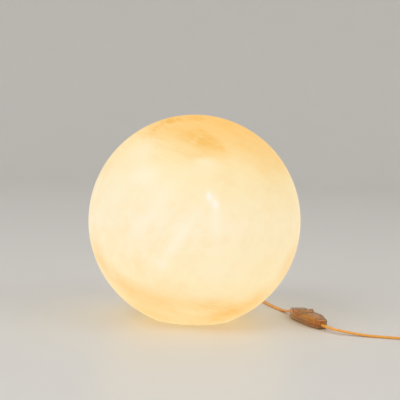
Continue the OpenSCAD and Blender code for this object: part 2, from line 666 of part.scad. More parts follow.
// Coil of flat flex: it spirals in and out again, a layer higher each time
function coil_way(t) = let (u = t % (2*layer_turns))
    coil_r - coil_pitch*(u < layer_turns ? u : 2*layer_turns - u);
function coil_lift(t) = flex_t/2 + layer_h*total([for (k = [1:3])
    min(max((t - layer_turns*k)/climb + 0.5, 0), 1)]);
function total(v) = v*[for (x = v) 1];
function coil_point(t) = let (a = coil_start + 360*t, r = coil_way(t))
    [coil_at.x + r*cos(a), coil_at.y + r*sin(a), coil_lift(t)];
coil_step = 1/rings_a_turn;
coil_first = coil_point(0);
coil_in = (coil_point(coil_step/4) - coil_first)/norm(coil_point(coil_step/4) - coil_first);
coil_final = coil_point(coil_turns);
coil_out = (coil_final - coil_point(coil_turns - coil_step/4))
    /norm(coil_final - coil_point(coil_turns - coil_step/4));
coil_entry = coil_first - coil_in*flex_w;
coil_exit = coil_final + coil_out*flex_w;
coil_route = concat([coil_entry], [for (i = [0:floor(coil_turns*rings_a_turn)]) coil_point(i*coil_step)],
    [coil_final, coil_exit]);
module flex_coil() color("goldenrod") tube(coil_route, flat_outline(6));

// Least gap between loops, measured between points round each ring's outline
gap_outline = let (p = flat_outline(6)) [for (k = [0:5], f = [0, 0.25, 0.5, 0.75])
    p[k]*(1 - f) + p[(k + 1)%6]*f];
function ring_at(i) = let (c = coil_point(i*coil_step), d = level_side(
    coil_point((i + 0.5)*coil_step) - coil_point((i - 0.5)*coil_step)))
    [for (p = gap_outline) c + d*p.x + [0, 0, p.y]];
coil_rings = [for (i = [0:floor(coil_turns*rings_a_turn)]) ring_at(i)];
least_gap = min([for (i = [0:2:len(coil_rings) - 1], j = [i + rings_a_turn:rings_a_turn:len(coil_rings) - 1])
    min([for (a = coil_rings[i], b = coil_rings[j]) norm(a - b)])]);
echo(least_gap_of_coil = least_gap);

// Free flex from the switch to the coil
module main_flex() color("goldenrod") tube(concat([on_switch(switch_l/2, seam_z),
    on_switch(switch_l/2 + flex_w, seam_z)], main_route, [coil_entry - coil_in*flex_w, coil_entry]),
    flat_outline(8));

// Places things in the plug's own frame
module at_plug() translate([plug_at.x, plug_at.y, plug_t/2]) rotate([0, 0, plug_turn]) children();
plug_way = [cos(plug_turn), sin(plug_turn), 0];
plug_entry = [plug_at.x, plug_at.y, plug_t/2];

// Free flex from the coil to the plug
module tail_flex() color("goldenrod") tube(concat([coil_exit, coil_exit + coil_out*flex_w], tail_route,
    [plug_entry - plug_way*flex_w, plug_entry]), flat_outline(8));

// Ribbed strain relief moulded on the flex
module plug_relief() color("goldenrod") at_plug() rotate([0, 90, 0]) rotate_extrude($fn = 32) polygon(concat(
    [[0, 0], [3.2, 0]],
    [for (i = [0:3]) let (x = 1.5 + 3.6*i, r = 3.4 + 0.35*i) each [[r, x], [r, x + 2.2],
        [r - 0.9, x + 2.3], [r - 0.9, x + 3.5]]],
    [[4.8, plug_relief_l], [0, plug_relief_l]]));

// Moulded body, wide at its face and drawn in towards the flex
module plug_slab(w, t, x, l) translate([x, 0, 0]) rotate([90, 0, 90]) linear_extrude(l)
    hull() for (s = [-1, 1]) translate([s*(w - t)/2, 0]) circle(d = t, $fn = 32);
module plug_body() color("goldenrod") at_plug() {
    hull() {
        plug_slab(plug_w, plug_t, plug_relief_l + plug_l - plug_face_t, plug_face_t - 1);
        plug_slab(plug_w - 2, plug_t - 2, plug_relief_l + plug_l - 1, 1);
        plug_slab(plug_rear_w, plug_rear_t, plug_relief_l, 2);
    }
}
plug_face_x = plug_relief_l + plug_l;
module plug_pins() color("silver") at_plug() for (s = [-1, 1])
    translate([plug_face_x, s*pin_gap/2, 0]) rotate([0, 90, 0]) {
        cylinder(h = sleeve_l, d = pin_core_d, $fn = 32);
        translate([0, 0, sleeve_l]) cylinder(h = pin_l - sleeve_l - pin_d/2, d = pin_d, $fn = 32);
        translate([0, 0, pin_l - pin_d/2]) sphere(d = pin_d, $fn = 32);
    }
module pin_sleeves() color("dimgray") at_plug() for (s = [-1, 1])
    translate([plug_face_x, s*pin_gap/2, 0]) rotate([0, 90, 0]) difference() {
        cylinder(h = sleeve_l, d = pin_d, $fn = 32);
        translate([0, 0, -over]) cylinder(h = sleeve_l + 2*over, d = pin_core_d + fit, $fn = 32);
    }

globe();
base_pan();
rubber_buffers();
strain_relief();
inner_lead();
nipple();
lower_nut();
lock_washer();
upper_nut();
holder_cap();
grub_screw();
holder_core();
terminal_screws();
holder_wires();
centre_contact();
screw_shell();
holder_shell();
bulb_glass();
bulb_cap();
bulb_insulator();
bulb_tip();
bulb_stem();
bulb_wires();
filament();
lead_flex();
switch_base();
switch_cover();
switch_rocker();
fixed_contact();
contact_blade();
switch_terminals();
switch_clamp_screws();
switch_wires();
switch_screws();
main_flex();
flex_coil();
tail_flex();
plug_relief();
plug_body();
plug_pins();
pin_sleeves();
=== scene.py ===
"""Globe table lamp: a ball of cloudy glass, lit from inside, with a clear switch in its golden flex."""
import json
import math

import bmesh
import bpy
from bpy.props import FloatProperty, FloatVectorProperty, IntProperty, PointerProperty
from mathutils import Matrix, Vector


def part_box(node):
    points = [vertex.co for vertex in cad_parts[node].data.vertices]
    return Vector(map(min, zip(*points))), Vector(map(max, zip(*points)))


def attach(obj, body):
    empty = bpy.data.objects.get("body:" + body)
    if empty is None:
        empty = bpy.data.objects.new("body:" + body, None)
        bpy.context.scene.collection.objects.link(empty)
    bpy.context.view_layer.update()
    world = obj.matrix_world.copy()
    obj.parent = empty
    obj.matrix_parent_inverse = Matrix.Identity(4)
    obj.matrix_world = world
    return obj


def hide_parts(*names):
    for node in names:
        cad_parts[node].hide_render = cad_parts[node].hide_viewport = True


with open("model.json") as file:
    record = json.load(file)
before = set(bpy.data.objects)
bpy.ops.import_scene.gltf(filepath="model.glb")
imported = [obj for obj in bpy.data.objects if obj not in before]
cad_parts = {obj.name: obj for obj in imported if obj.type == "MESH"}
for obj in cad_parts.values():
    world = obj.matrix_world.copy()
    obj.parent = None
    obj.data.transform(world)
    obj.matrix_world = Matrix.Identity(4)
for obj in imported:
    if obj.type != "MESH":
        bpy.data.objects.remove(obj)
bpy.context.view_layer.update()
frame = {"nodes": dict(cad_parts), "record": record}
NODES = frame["nodes"]

bl_info = {
    "name": "Globe Table Lamp",
    "version": (1, 0, 0),
    "blender": (4, 5, 0),
    "location": "3D View > Sidebar > Globe Lamp",
    "description": "Dresses the globe table lamp with its glass, flex, switch and plug",
    "category": "Add Mesh",
}

MM = 0.001
LOOK = "look_"
GLOBE_LOW, GLOBE_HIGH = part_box("globe")
GLOBE_R = (GLOBE_HIGH.x - GLOBE_LOW.x) / 2
GLOBE_Z = GLOBE_HIGH.z - GLOBE_R

# How near two points are to become one, in new meshes and in copies of CAD nodes, and how little a
# copied face may turn from its neighbour to be joined with it
WELD, WELD_CAD = 0.001 * MM, 0.002 * MM
NEARLY_FLAT = math.radians(0.6)

# Ground rim of the glass: how far above the flat the ball's curve stops, in degrees, then the points
# where the rim turns in, as places from the curve's end, the flat's edge and the opening's edge
RIM_STOP = 1.2
RIM_CORNER = 0.0012
RIM_HEEL = (0.55 * RIM_CORNER, 0.35 * RIM_CORNER)
RIM_FLAT_IN = 1.2 * RIM_CORNER
RIM_LIP = (0.5 * RIM_CORNER, 0.4 * RIM_CORNER)
GLASS_STEPS, GLASS_INNER_STEPS, GLASS_TURN_STEPS, NOTCH_STEPS = 84, 60, 144, 16

# Camera of the photograph, fitted to the outline and the foot of the ball
CAMERA_AT = (0.0057, -1.114, 0.2326)
CAMERA_PITCH = math.radians(4.7)
CAMERA_ROLL = math.radians(1.6)
CAMERA_LENS = 85.0
CAMERA_SENSOR = 36.0
CAMERA_SHIFT_Y = -0.00125
CAMERA_CLIP = (0.01, 100.0)

# Floor of the stage, which sweeps up into a wall, and its soft lights: name, setting, size and place
FLOOR_R = 2.4
FLOOR_MIDDLE_R = 0.8
SWEEP_R = 1.4
SWEEP_STEPS = 16
WALL_H = 2.6
SKY_TINT = (1.0, 0.985, 0.96)
LIGHTS = (("key_light", "key", 1.8, (-1.5, -1.5, 2.0)), ("fill_light", "fill", 1.6, (1.7, -1.0, 1.5)))
LIGHT_AIM = Vector((0, 0, 0.1))

# The switch and its rocker, as part.scad places them
SWITCH_AT = Vector((0.1365, -0.016, 0.0))
SWITCH_TURN = math.radians(-69)
SWITCH_LENGTH = 0.074
SWITCH_SEAM = 0.005
SWITCH_ROCKER_X = -0.006
SWITCH_PIVOT_Z = 0.0105
ROCKER_TILT = math.radians(9)
ROCKER_LENGTH = 0.017
ROCKER_WIDTH = 0.012
ROCKER_CROWN = 0.00375
TRUNNION_D = 0.0024
TRUNNION_LENGTH = 0.0154
TRUNNION_SIDES = 32

# Softened edges of the switch, and the rocker's grip grooves, ends and underside
SHELL_EDGE = 0.25 * MM
SHELL_SHARP = 38
ROCKER_EDGE = 0.0003
ROCKER_RIBS_FROM, ROCKER_RIBS_SPAN = 0.30, 0.62
RIB_SHAPE = ((0.0, 0), (0.00025, -1), (0.00065, -1), (0.0009, 0))
ROCKER_END_DIP, ROCKER_END_STEPS = 8, 8
ROCKER_FOOT = [
    (0.005, -0.0022), (-0.0037, -0.0026), (-0.0041, -0.0036), (-0.0053, -0.0036), (-0.0057, -0.0024),
]

# The plug, as part.scad places it, with the distance along its body and its width and thickness there
PLUG_AT = Vector((0.302, 0.0, 0.00685))
PLUG_TURN = math.radians(96)
PLUG_STATIONS = [
    (0.016, 0.0135, 0.0085), (0.0164, 0.015, 0.01), (0.0185, 0.015, 0.01), (0.0395, 0.035, 0.0137),
    (0.0492, 0.035, 0.0137), (0.05, 0.0345, 0.0132), (0.05, 0.033, 0.0117),
]
PLUG_SIDE_STEPS = 12

# Grip bars on both faces of the plug
GRIP_START = 0.0225
GRIP_PITCH = 0.0034
GRIP_COUNT = 5
GRIP_LOW = 0.0048
GRIP_HIGH = 0.0059
GRIP_BAR = (0.0015, 0.0075, 0.0018)
GRIP_WIDENS = 0.55
GRIP_EDGE = 0.00055

# The bulb's glass, cap and filament
BULB_BALL_STEPS, BULB_NECK_STEPS = 72, 24
CAP_FIT = 0.0001
CAP_NEAR = 0.01 * MM
CAP_HOLE_R = 0.0095
CAP_FOOT = ((0.0016, 0.0), (0.0005, 0.0006))
CAP_FOOT_IN = 0.0019
CAP_FOOT_H = 0.0015
CAP_STEPS = 90
THREAD_FROM, THREAD_TO, THREAD_FADE = 0.06, 0.80, 0.08
FILAMENT_HALF = math.radians(150)
FILAMENT_TURNS = 64
FILAMENT_SIDES = 10
FILAMENT_COIL_R = 0.00042
FILAMENT_WIRE_D = 0.0002
FILAMENT_WIRE_SIDES = 5

# Section of the flex: where a lobe ends, in degrees, its steps, the groove's height in radii, and
# how far the strands go along in one turn
TWIN_LOBE, TWIN_STEPS, TWIN_GROOVE = 128, 8, 0.62
STRAND_LAY = 0.0014

# The coil and the free stretches of flex, as part.scad routes them, and their straight ends
BOOT_STRAIGHT = 0.003
FLEX_STRAIGHT = 0.005
COIL_AT = Vector((0.284, -0.066, 0.0))
COIL_START = math.radians(-102)
COIL_TURNS = 7.3
COIL_RADIUS = 0.033
COIL_PITCH = 0.0055
COIL_LAYER = 0.003
COIL_LAYER_TURNS = 2
COIL_LAYERS = math.ceil(COIL_TURNS / COIL_LAYER_TURNS)
COIL_CLIMB = 0.5
COIL_RINGS = 32
TIE_ANGLE = math.radians(78)
TIE_LIFT = 0.00065
TIE_REACH = math.radians(50)
BOOT_TIP = Vector((0.0, 0.068, 0.0085))
LEAD_ROUTE = [
    (0, 0.075, 0.0084), (0, 0.081, 0.0076), (0, 0.087, 0.006), (0, 0.093, 0.004),
    (0, 0.099, 0.0022), (0, 0.105, 0.0013), (0.0006, 0.112, 0.00125), (0.0026, 0.119, 0.00125),
    (0.007, 0.127, 0.00125), (0.014, 0.134, 0.00125), (0.023, 0.1395, 0.00125),
    (0.034, 0.143, 0.00125), (0.046, 0.144, 0.00125), (0.058, 0.143, 0.00125),
    (0.069, 0.1395, 0.00125), (0.0785, 0.1335, 0.00125), (0.0855, 0.126, 0.00125),
    (0.0898, 0.117, 0.00125), (0.092, 0.108, 0.00125), (0.094, 0.098, 0.00125),
    (0.097, 0.088, 0.00125), (0.1005, 0.078, 0.00125), (0.104, 0.068, 0.00125),
    (0.1078, 0.0585, 0.00125), (0.1116, 0.0495, 0.00145), (0.115, 0.041, 0.0025),
    (0.118, 0.0325, 0.0039),
]
MAIN_ROUTE = [
    (0.154, -0.0603, 0.00495), (0.1573, -0.0652, 0.0048), (0.1618, -0.0696, 0.0045),
    (0.1676, -0.0731, 0.004), (0.1746, -0.076, 0.0033), (0.1828, -0.0785, 0.0025),
    (0.1918, -0.0808, 0.0018), (0.201, -0.083, 0.00135), (0.21, -0.0852, 0.00125),
    (0.219, -0.0871, 0.00125), (0.228, -0.0888, 0.00125), (0.239, -0.0908, 0.00125),
    (0.25, -0.0928, 0.00125), (0.261, -0.0948, 0.00125),
]
TAIL_ROUTE = [
    (0.3094, -0.042, 0.0101), (0.3072, -0.031, 0.0093), (0.3052, -0.021, 0.0081),
    (0.3035, -0.012, 0.0072),
]

# The tie round the coil, which part.scad leaves out
TIE_THICK = 0.00045
TIE_WIDTH = 0.006
TIE_SLACK = 0.00012
TIE_CORNER = 0.0016
TIE_CORNER_STEPS = 6
TIE_EDGE = 0.00012

# What lies on the flex, apart from the lamp
SWITCH_METAL = ("fixed_contact", "contact_blade", "switch_terminals", "switch_clamp_screws",
                "switch_wires", "switch_screws")
PLUG_METAL = ("plug_relief", "plug_pins", "pin_sleeves")


def length_prop(name, description, default):
    return FloatProperty(
        name=name, description=description, default=default, min=0.0, subtype="DISTANCE", unit="LENGTH"
    )


def strength_prop(name, description, default):
    return FloatProperty(name=name, description=description, default=default, min=0.0)


def colour_prop(name, description, default):
    return FloatVectorProperty(
        name=name, description=description, default=default, min=0.0, max=1.0, subtype="COLOR"
    )


class LAMP_PG_globe(bpy.types.PropertyGroup):
    """The glass ball and its light."""

    wall: length_prop("Wall", "Thickness of the glass", 4 * MM)
    flat: length_prop("Flat", "Diameter of the flat under the ball", 94 * MM)
    opening: length_prop("Opening", "Diameter of the hole in the flat", 80 * MM)
    notch: length_prop("Notch", "Width of the flex notch at the back", 10 * MM)
    notch_rise: length_prop("Notch rise", "Height of the notch's arch centre", 8.5 * MM)
    core: colour_prop("Core", "Glass where the light comes through best", (1.0, 0.875, 0.635))
    amber: colour_prop("Amber", "Glass near the poles and in its shades", (0.97, 0.58, 0.17))
    ochre: colour_prop("Ochre", "Darkest patches and strokes", (0.88, 0.44, 0.04))
    glow: strength_prop("Glow", "Strength of the light in the glass", 0.73)
    daylight: FloatProperty(
        name="Daylight", description="Share of the colour that outside light brings out", default=0.4,
        min=0.0, max=1.0, subtype="FACTOR",
    )


class LAMP_PG_flex(bpy.types.PropertyGroup):
    """The flat twin flex."""

    width: length_prop("Width", "Width across both cores", 5 * MM)
    thickness: length_prop("Thickness", "Thickness of one core with its sheath", 2.5 * MM)
    # Sheath and strand are more orange than the flex itself: they also paint the warm light of the lamp on
    # it
    sheath: colour_prop("Sheath", "Clear sheath over copper", (0.97, 0.45, 0.07))
    strand: colour_prop("Strand", "Copper seen through the sheath", (0.80, 0.29, 0.03))


class LAMP_PG_switch(bpy.types.PropertyGroup):
    """The clear in-line switch."""

    # Shell and rocker tints are deeper amber than the plastic itself: they also paint the warm light of
    # the lamp on it
    shell: colour_prop("Shell", "Tint of the clear shells", (1.0, 0.61, 0.23))
    rocker: colour_prop("Rocker", "Tint of the rocker", (1.0, 0.64, 0.26))
    rib: length_prop("Rib", "Depth of the grip grooves in the rocker", 0.35 * MM)
    ribs: IntProperty(name="Ribs", description="Grip grooves on each half of the rocker", default=4, min=0)


class LAMP_PG_base(bpy.types.PropertyGroup):
    """The base pan, lampholder and bulb."""

    plate: colour_prop("Plate", "Zinc plated steel", (0.60, 0.60, 0.61))
    holder: colour_prop("Holder", "Moulded lampholder", (0.84, 0.80, 0.70))
    brass: colour_prop("Brass", "Brass contacts", (0.80, 0.56, 0.22))
    filament: colour_prop("Filament", "Light of the filament", (1.0, 0.66, 0.30))
    bulb_wall: length_prop("Bulb wall", "Thickness of the bulb's glass", 0.8 * MM)
    cap_sheet: length_prop("Cap sheet", "Thickness of the bulb cap's metal", 0.4 * MM)
    thread_pitch: length_prop("Thread pitch", "Pitch of the bulb cap's thread", 3.62 * MM)
    thread_depth: length_prop("Thread depth", "Depth of the bulb cap's thread", 1.0 * MM)


class LAMP_PG_stage(bpy.types.PropertyGroup):
    """The floor, the light and the background."""

    floor: colour_prop("Floor", "Pale floor", (0.80, 0.785, 0.76))
    backdrop: colour_prop("Backdrop", "Pale background", (0.78, 0.77, 0.75))
    sky: strength_prop("Sky", "Strength of the light from all round", 0.58)
    key: strength_prop("Key", "Power of the main soft light in watts", 22.0)
    fill: strength_prop("Fill", "Power of the second soft light in watts", 10.0)


def settings(group):
    """The values of one of this add-on's groups."""
    return getattr(bpy.context.scene, "lamp_" + group)


# Node materials


class Nodes:
    """A node tree while it is put together."""

    def __init__(self, tree):
        self.tree = tree

    def put(self, socket, value):
        if isinstance(value, bpy.types.NodeSocket):
            self.tree.links.new(value, socket)
        elif socket.type == "RGBA" and len(value) == 3:
            socket.default_value = (*value, 1.0)
        else:
            socket.default_value = value

    def node(self, kind, inputs=(), **settled):
        made = self.tree.nodes.new("ShaderNode" + kind)
        for name, value in settled.items():
            setattr(made, name, value)
        for name, value in dict(inputs).items():
            self.put(made.inputs[name], value)
        return made

    def calc(self, operation, *values, clamp=False):
        made = self.node("Math", operation=operation, use_clamp=clamp)
        for socket, value in zip(made.inputs, values):
            self.put(socket, value)
        return made.outputs[0]


class Recipe(Nodes):
    """A node material while it is put together."""

    def __init__(self, name, **plain):
        self.material = bpy.data.materials.new(LOOK + name)
        self.material.use_nodes = True
        super().__init__(self.material.node_tree)
        self.shader = self.tree.nodes["Principled BSDF"]
        self.set(**plain)

    def set(self, **plain):
        """Sets sockets of the shader: Base_Color=..., Roughness=..."""
        for name, value in plain.items():
            self.put(self.shader.inputs[name.replace("_", " ")], value)

    def place(self, centre=(0, 0, 0), size=(1, 1, 1), turn=(0, 0, 0), vector=None):
        """Object coordinates, or a given vector, measured from a centre, turned, in units of size."""
        vector = vector or self.node("TexCoord").outputs["Object"]
        return self.node(
            "Mapping",
            {"Vector": vector, "Location": centre, "Rotation": turn, "Scale": size},
            vector_type="TEXTURE",
        ).outputs["Vector"]

    def stretch(self, vector, turn=(0, 0, 0), scale=(1, 1, 1)):
        """A vector turned about the origin and then scaled."""
        turned = self.place(turn=turn, vector=vector)
        return self.node("Mapping", {"Vector": turned, "Scale": scale}).outputs["Vector"]

    def noise(self, vector, scale, detail=3.0, roughness=0.5, distortion=0.0):
        return self.node(
            "TexNoise",
            {"Vector": vector, "Scale": scale, "Detail": detail, "Roughness": roughness,
             "Distortion": distortion},
        ).outputs["Fac"]

    def times(self, a, b):
        return self.calc("MULTIPLY", a, b)

    def plus(self, a, b):
        return self.calc("ADD", a, b)

    def band(self, value, low, high, to_low=0.0, to_high=1.0):
        """A smooth step of a value from low to high."""
        return self.node(
            "MapRange",
            {"Value": value, "From Min": low, "From Max": high, "To Min": to_low, "To Max": to_high},
            interpolation_type="SMOOTHSTEP",
        ).outputs["Result"]

    def blob(self, vector, centre, half, turn):
        """An ellipsoid turned about Y, from 0 at its surface to 1 in its middle."""
        local = self.place(centre, half, (0.0, turn, 0.0), vector)
        reach = self.node("VectorMath", {0: local}, operation="LENGTH").outputs["Value"]
        return self.band(reach, 1.0, 0.0)

    def ramp(self, value, stops):
        made = self.node("ValToRGB", {"Fac": value})
        band = made.color_ramp
        while len(band.elements) < len(stops):
            band.elements.new(0.5)
        for element, (at, colour) in zip(band.elements, stops):
            element.position = at
            element.color = (*colour, 1.0)
        return made.outputs["Color"]

    def mix(self, factor, a, b, blend="MIX"):
        """Two colours mixed. The colours of a Mix node are its sockets 6 and 7."""
        made = self.node("Mix", data_type="RGBA", blend_type=blend)
        for index, value in ((0, factor), (6, a), (7, b)):
            self.put(made.inputs[index], value)
        return made.outputs[2]

    def bump(self, height, strength, distance):
        self.set(Normal=self.node(
            "Bump", {"Height": height, "Strength": strength, "Distance": distance}).outputs["Normal"])


def shade(colour, factor):
    """A colour made darker or lighter."""
    return tuple(min(1.0, c * factor) for c in colour)


def seen_at(x, z):
    """Point of the ball, in radii, that the camera shows at x and z radii from the middle of its disc."""
    eye = (Vector(CAMERA_AT) - Vector((0, 0, GLOBE_Z))) / GLOBE_R
    away = eye.normalized()
    right = Vector((0, 0, 1)).cross(away).normalized()
    slope = 1 / math.sqrt(eye.length_squared - 1)
    way = (slope * (x * right + z * away.cross(right)) - away).normalized()
    reach = -eye.dot(way)
    return eye + way * (reach - math.sqrt(max(0.0, reach**2 - eye.length_squared + 1)))


# Marks in the glass: place, half sizes, lean in degrees, strength. Lengths are in radii of the ball.
# A place is x and z in the photograph's disc, or at the back x, y and z from the ball's middle.
# Strokes and smudges are ochre, shades are amber, gleams are pale, and the bulb spots are nearly white: a
# painted glow of the bulb showing through the glass.
STROKES = (
    ((-0.24, 0.94), (0.17, 0.045), -14, 0.85), ((-0.39, 0.86), (0.12, 0.040), -30, 0.45),
    ((-0.02, 0.965), (0.14, 0.035), 0, 0.60), ((0.05, 0.84), (0.20, 0.05), 30, 0.30),
)
SMUDGES = (
    ((0.02, 0.76), (0.30, 0.12), 18, 0.46), ((0.17, 0.72), (0.15, 0.07), 14, 0.34),
    ((-0.03, 0.62), (0.18, 0.07), 10, 0.13), ((0.48, 0.74), (0.40, 0.14), 38, 0.05),
    ((0.28, 0.37), (0.14, 0.18), -20, 0.14), ((0.66, 0.34), (0.26, 0.38), 30, 0.13),
    ((0.22, -0.80), (0.34, 0.10), 8, 0.14), ((0.34, -0.86), (0.20, 0.07), -12, 0.16),
)
# The amber shades near the edge of the ball's disc are painted shade: the glow made darker at the edge as
# the camera sees it. The others are amber patches low in the glass.
SHADES = (
    ((0.24, -0.80), (0.38, 0.14), 8, 0.38), ((0.57, -0.76), (0.32, 0.16), -40, 0.52),
    ((-0.44, -0.73), (0.46, 0.18), 20, 0.46), ((-0.66, -0.62), (0.36, 0.16), 42, 0.34),
    ((-0.88, -0.40), (0.42, 0.18), 62, 0.42), ((0.90, -0.40), (0.40, 0.15), -64, 0.42),
    ((0.86, 0.28), (0.34, 0.12), 70, 0.12), ((-0.14, -0.76), (0.32, 0.13), 8, 0.24),
    ((0.32, -0.88), (0.36, 0.14), -18, 0.62), ((-0.40, -0.88), (0.28, 0.12), 20, 0.32),
    ((-0.54, -0.44), (0.26, 0.16), 24, 0.13), ((-0.22, -0.63), (0.24, 0.14), 0, 0.20),
    ((-0.84, 0.50), (0.14, 0.22), 24, 0.24),
)
GLEAMS = (
    ((-0.12, -0.14), (0.09, 0.42), 35, 0.80), ((-0.50, -0.06), (0.09, 0.36), 38, 0.55),
    ((0.19, 0.00), (0.10, 0.26), 0, 0.70), ((-0.74, 0.24), (0.24, 0.28), 0, 0.40),
    ((-0.30, -0.42), (0.10, 0.09), 30, 0.60), ((-0.50, 0.40), (0.24, 0.18), -10, 0.60),
    ((-0.36, 0.18), (0.16, 0.34), 36, 0.42), ((0.155, 0.20), (0.11, 0.13), 30, 0.20),
    ((0.10, 0.50), (0.30, 0.12), -10, 0.25), ((0.30, -0.48), (0.34, 0.14), 6, 0.16),
    ((-0.52, 0.62), (0.26, 0.18), -42, 0.40), ((0.09, 0.56), (0.14, 0.06), 0, 0.35),
)
# Painted glow: two bright spots, each with a softer halo, where the bulb inside shows through the glass,
# fixed in the glass
PAINTED_BULB_SPOTS = tuple(
    (at, (0.028 * grow, 0.046 * grow), -12, strength)
    for at in ((0.13, 0.229), (0.19, 0.159))
    for grow, strength in ((2.1, 0.45), (1.0, 0.85))
)
BACK_SMUDGES = (
    ((0.10, 0.60, 0.78), (0.42, 0.09), -16, 0.34), ((-0.30, 0.62, -0.72), (0.38, 0.08), -8, 0.26),
    ((0.80, 0.10, 0.58), (0.30, 0.08), 20, 0.22),
)
BACK_GLEAMS = (
    ((0.42, 0.90, -0.10), (0.06, 0.34), 30, 0.40), ((-0.25, 0.96, 0.05), (0.06, 0.30), -24, 0.40),
)
MARK_DEPTH = 0.45
PALE = (1.0, 0.91, 0.70)
PAINTED_SPOT_WHITE = (1.0, 0.97, 0.86)


def cloudy_glass(name):
    """Cream glass with cloud, fibres and amber poles, lit from inside."""
    made = settings("globe")
    core, amber, ochre = made.core, made.amber, made.ochre
    r = Recipe(name, IOR=1.5, Specular_IOR_Level=0.1)
    ball = r.place((0, 0, GLOBE_Z), size=(GLOBE_R,) * 3)
    split = r.node("SeparateXYZ", {"Vector": ball})
    cloud = r.noise(ball, 2.3, 4.0, 0.55, 0.35)
    fibre = r.noise(r.stretch(ball, (0, math.radians(24), 0), (2.2, 2.2, 15.0)), 1.6, 7.0, 0.62, 0.5)
    fine = r.noise(r.stretch(ball, (0, math.radians(18), 0), (6.0, 6.0, 40.0)), 1.5, 6.0, 0.7, 0.3)
    mottle = r.noise(ball, 8.0, 5.0, 0.6, 0.3)
    wisp = r.plus(r.times(r.calc("SUBTRACT", cloud, 0.5), 0.26),
                  r.times(r.calc("SUBTRACT", fibre, 0.5), 0.06))
    tilt = r.times(split.outputs["X"], r.band(split.outputs["Z"], 0.0, 0.6, 0.0, 0.22))
    level = r.plus(r.plus(split.outputs["Z"], tilt), wisp)
    tone = r.ramp(
        r.calc("MULTIPLY_ADD", level, 0.5, 0.5, clamp=True),
        [
            (0.0, (0.99, 0.81, 0.46)),
            (0.08, (0.99, 0.74, 0.37)),
            (0.16, (0.99, 0.79, 0.43)),
            (0.27, (1.0, 0.86, 0.55)),
            (0.52, core),
            (0.70, (0.985, 0.84, 0.53)),
            (0.81, (0.98, 0.775, 0.42)),
            (0.885, (0.97, 0.67, 0.28)),
            (1.0, amber),
        ],
    )
    right = r.band(r.plus(split.outputs["X"], r.times(wisp, 0.6)), -0.3, 0.9, 0.0, 0.5)
    tone = r.mix(right, tone, (0.99, 0.81, 0.47), "DARKEN")
    streak = r.noise(r.stretch(ball, (0, math.radians(32), 0), (5.0, 3.0, 1.1)), 1.6, 4.0, 0.55, 0.4)
    veil = r.calc("MULTIPLY_ADD", streak, 0.4, r.times(mottle, 0.6))
    tone = r.mix(r.band(veil, 0.43, 0.58, 0.0, 0.46), tone, (0.985, 0.80, 0.48), "DARKEN")
    poles = r.band(r.calc("ABSOLUTE", split.outputs["Z"]), 0.42, 0.9)
    threads = r.times(r.band(fibre, 0.46, 0.68), poles)
    tone = r.mix(r.times(threads, 0.28), tone, amber)
    specks = r.times(r.band(fine, 0.50, 0.72), r.times(poles, 0.30))
    tone = r.mix(specks, tone, ochre)

    thin = r.band(r.calc("MULTIPLY_ADD", fibre, 0.35, r.times(mottle, 0.65)), 0.36, 0.60)
    for marks, colour, grain in (
        (SHADES, amber, r.calc("MULTIPLY_ADD", thin, 0.4, 0.75)),
        (SMUDGES + BACK_SMUDGES, ochre, r.calc("MULTIPLY_ADD", thin, 1.0, 0.12)),
        (STROKES, ochre, r.band(fine, 0.43, 0.57, 0.1, 1.1)),
        (GLEAMS + BACK_GLEAMS, PALE, 1.0),
        (PAINTED_BULB_SPOTS, PAINTED_SPOT_WHITE, 1.0),
    ):
        for at, (wide, high), lean, depth in marks:
            centre = at if len(at) == 3 else seen_at(*at)
            patch = r.blob(ball, centre, (wide, MARK_DEPTH, high), math.radians(lean))
            tone = r.mix(r.times(r.times(patch, grain), depth), tone, colour)

    outside = r.mix(1.0, tone, (made.daylight,) * 3, "MULTIPLY")
    # Painted light: the glow is a little weaker at the top than at the bottom, to make up for the outside
    # light that falls more on the top than on the underside
    lit = r.node("VectorMath", {0: tone}, operation="SCALE")
    r.put(lit.inputs["Scale"], r.band(split.outputs["Z"], 0.4, -0.7, 0.93, 1.0))
    r.set(Base_Color=outside, Emission_Color=lit.outputs["Vector"], Emission_Strength=made.glow)
    r.set(Roughness=r.band(cloud, 0.3, 0.7, 0.42, 0.52))
    r.bump(r.plus(cloud, r.times(fine, 0.15)), 0.12, 0.4 * MM)
    return r.material


def plated_steel(name):
    """Zinc plated steel with a faint spangle and rubbed spots."""
    tone = settings("base").plate
    r = Recipe(name, Metallic=1.0)
    at = r.place()
    spangle = r.node("TexVoronoi", {"Vector": at, "Scale": 160.0}, feature="SMOOTH_F1").outputs["Color"]
    grey = r.node("RGBToBW", {"Color": spangle}).outputs["Val"]
    film = r.noise(at, 45.0, 4.0)
    r.set(Base_Color=r.mix(r.band(film, 0.4, 0.65, 0.0, 0.5),
                           r.mix(grey, shade(tone, 0.86), shade(tone, 1.12)), (0.60, 0.57, 0.48)))
    r.set(Roughness=r.band(r.plus(film, r.times(grey, 0.2)), 0.35, 0.85, 0.28, 0.46))
    r.bump(r.noise(at, 900.0, 2.0), 0.15, 0.05 * MM)
    return r.material


def grey_rubber(name):
    """Matte black rubber with a little dust."""
    r = Recipe(name, Specular_IOR_Level=0.35)
    at = r.place()
    dust = r.noise(at, 120.0, 5.0, 0.6)
    r.set(Base_Color=r.mix(r.band(dust, 0.4, 0.7), (0.022, 0.021, 0.020), (0.06, 0.056, 0.05)),
          Roughness=r.band(dust, 0.3, 0.7, 0.55, 0.8))
    r.bump(r.noise(at, 1500.0, 2.0), 0.2, 0.06 * MM)
    return r.material


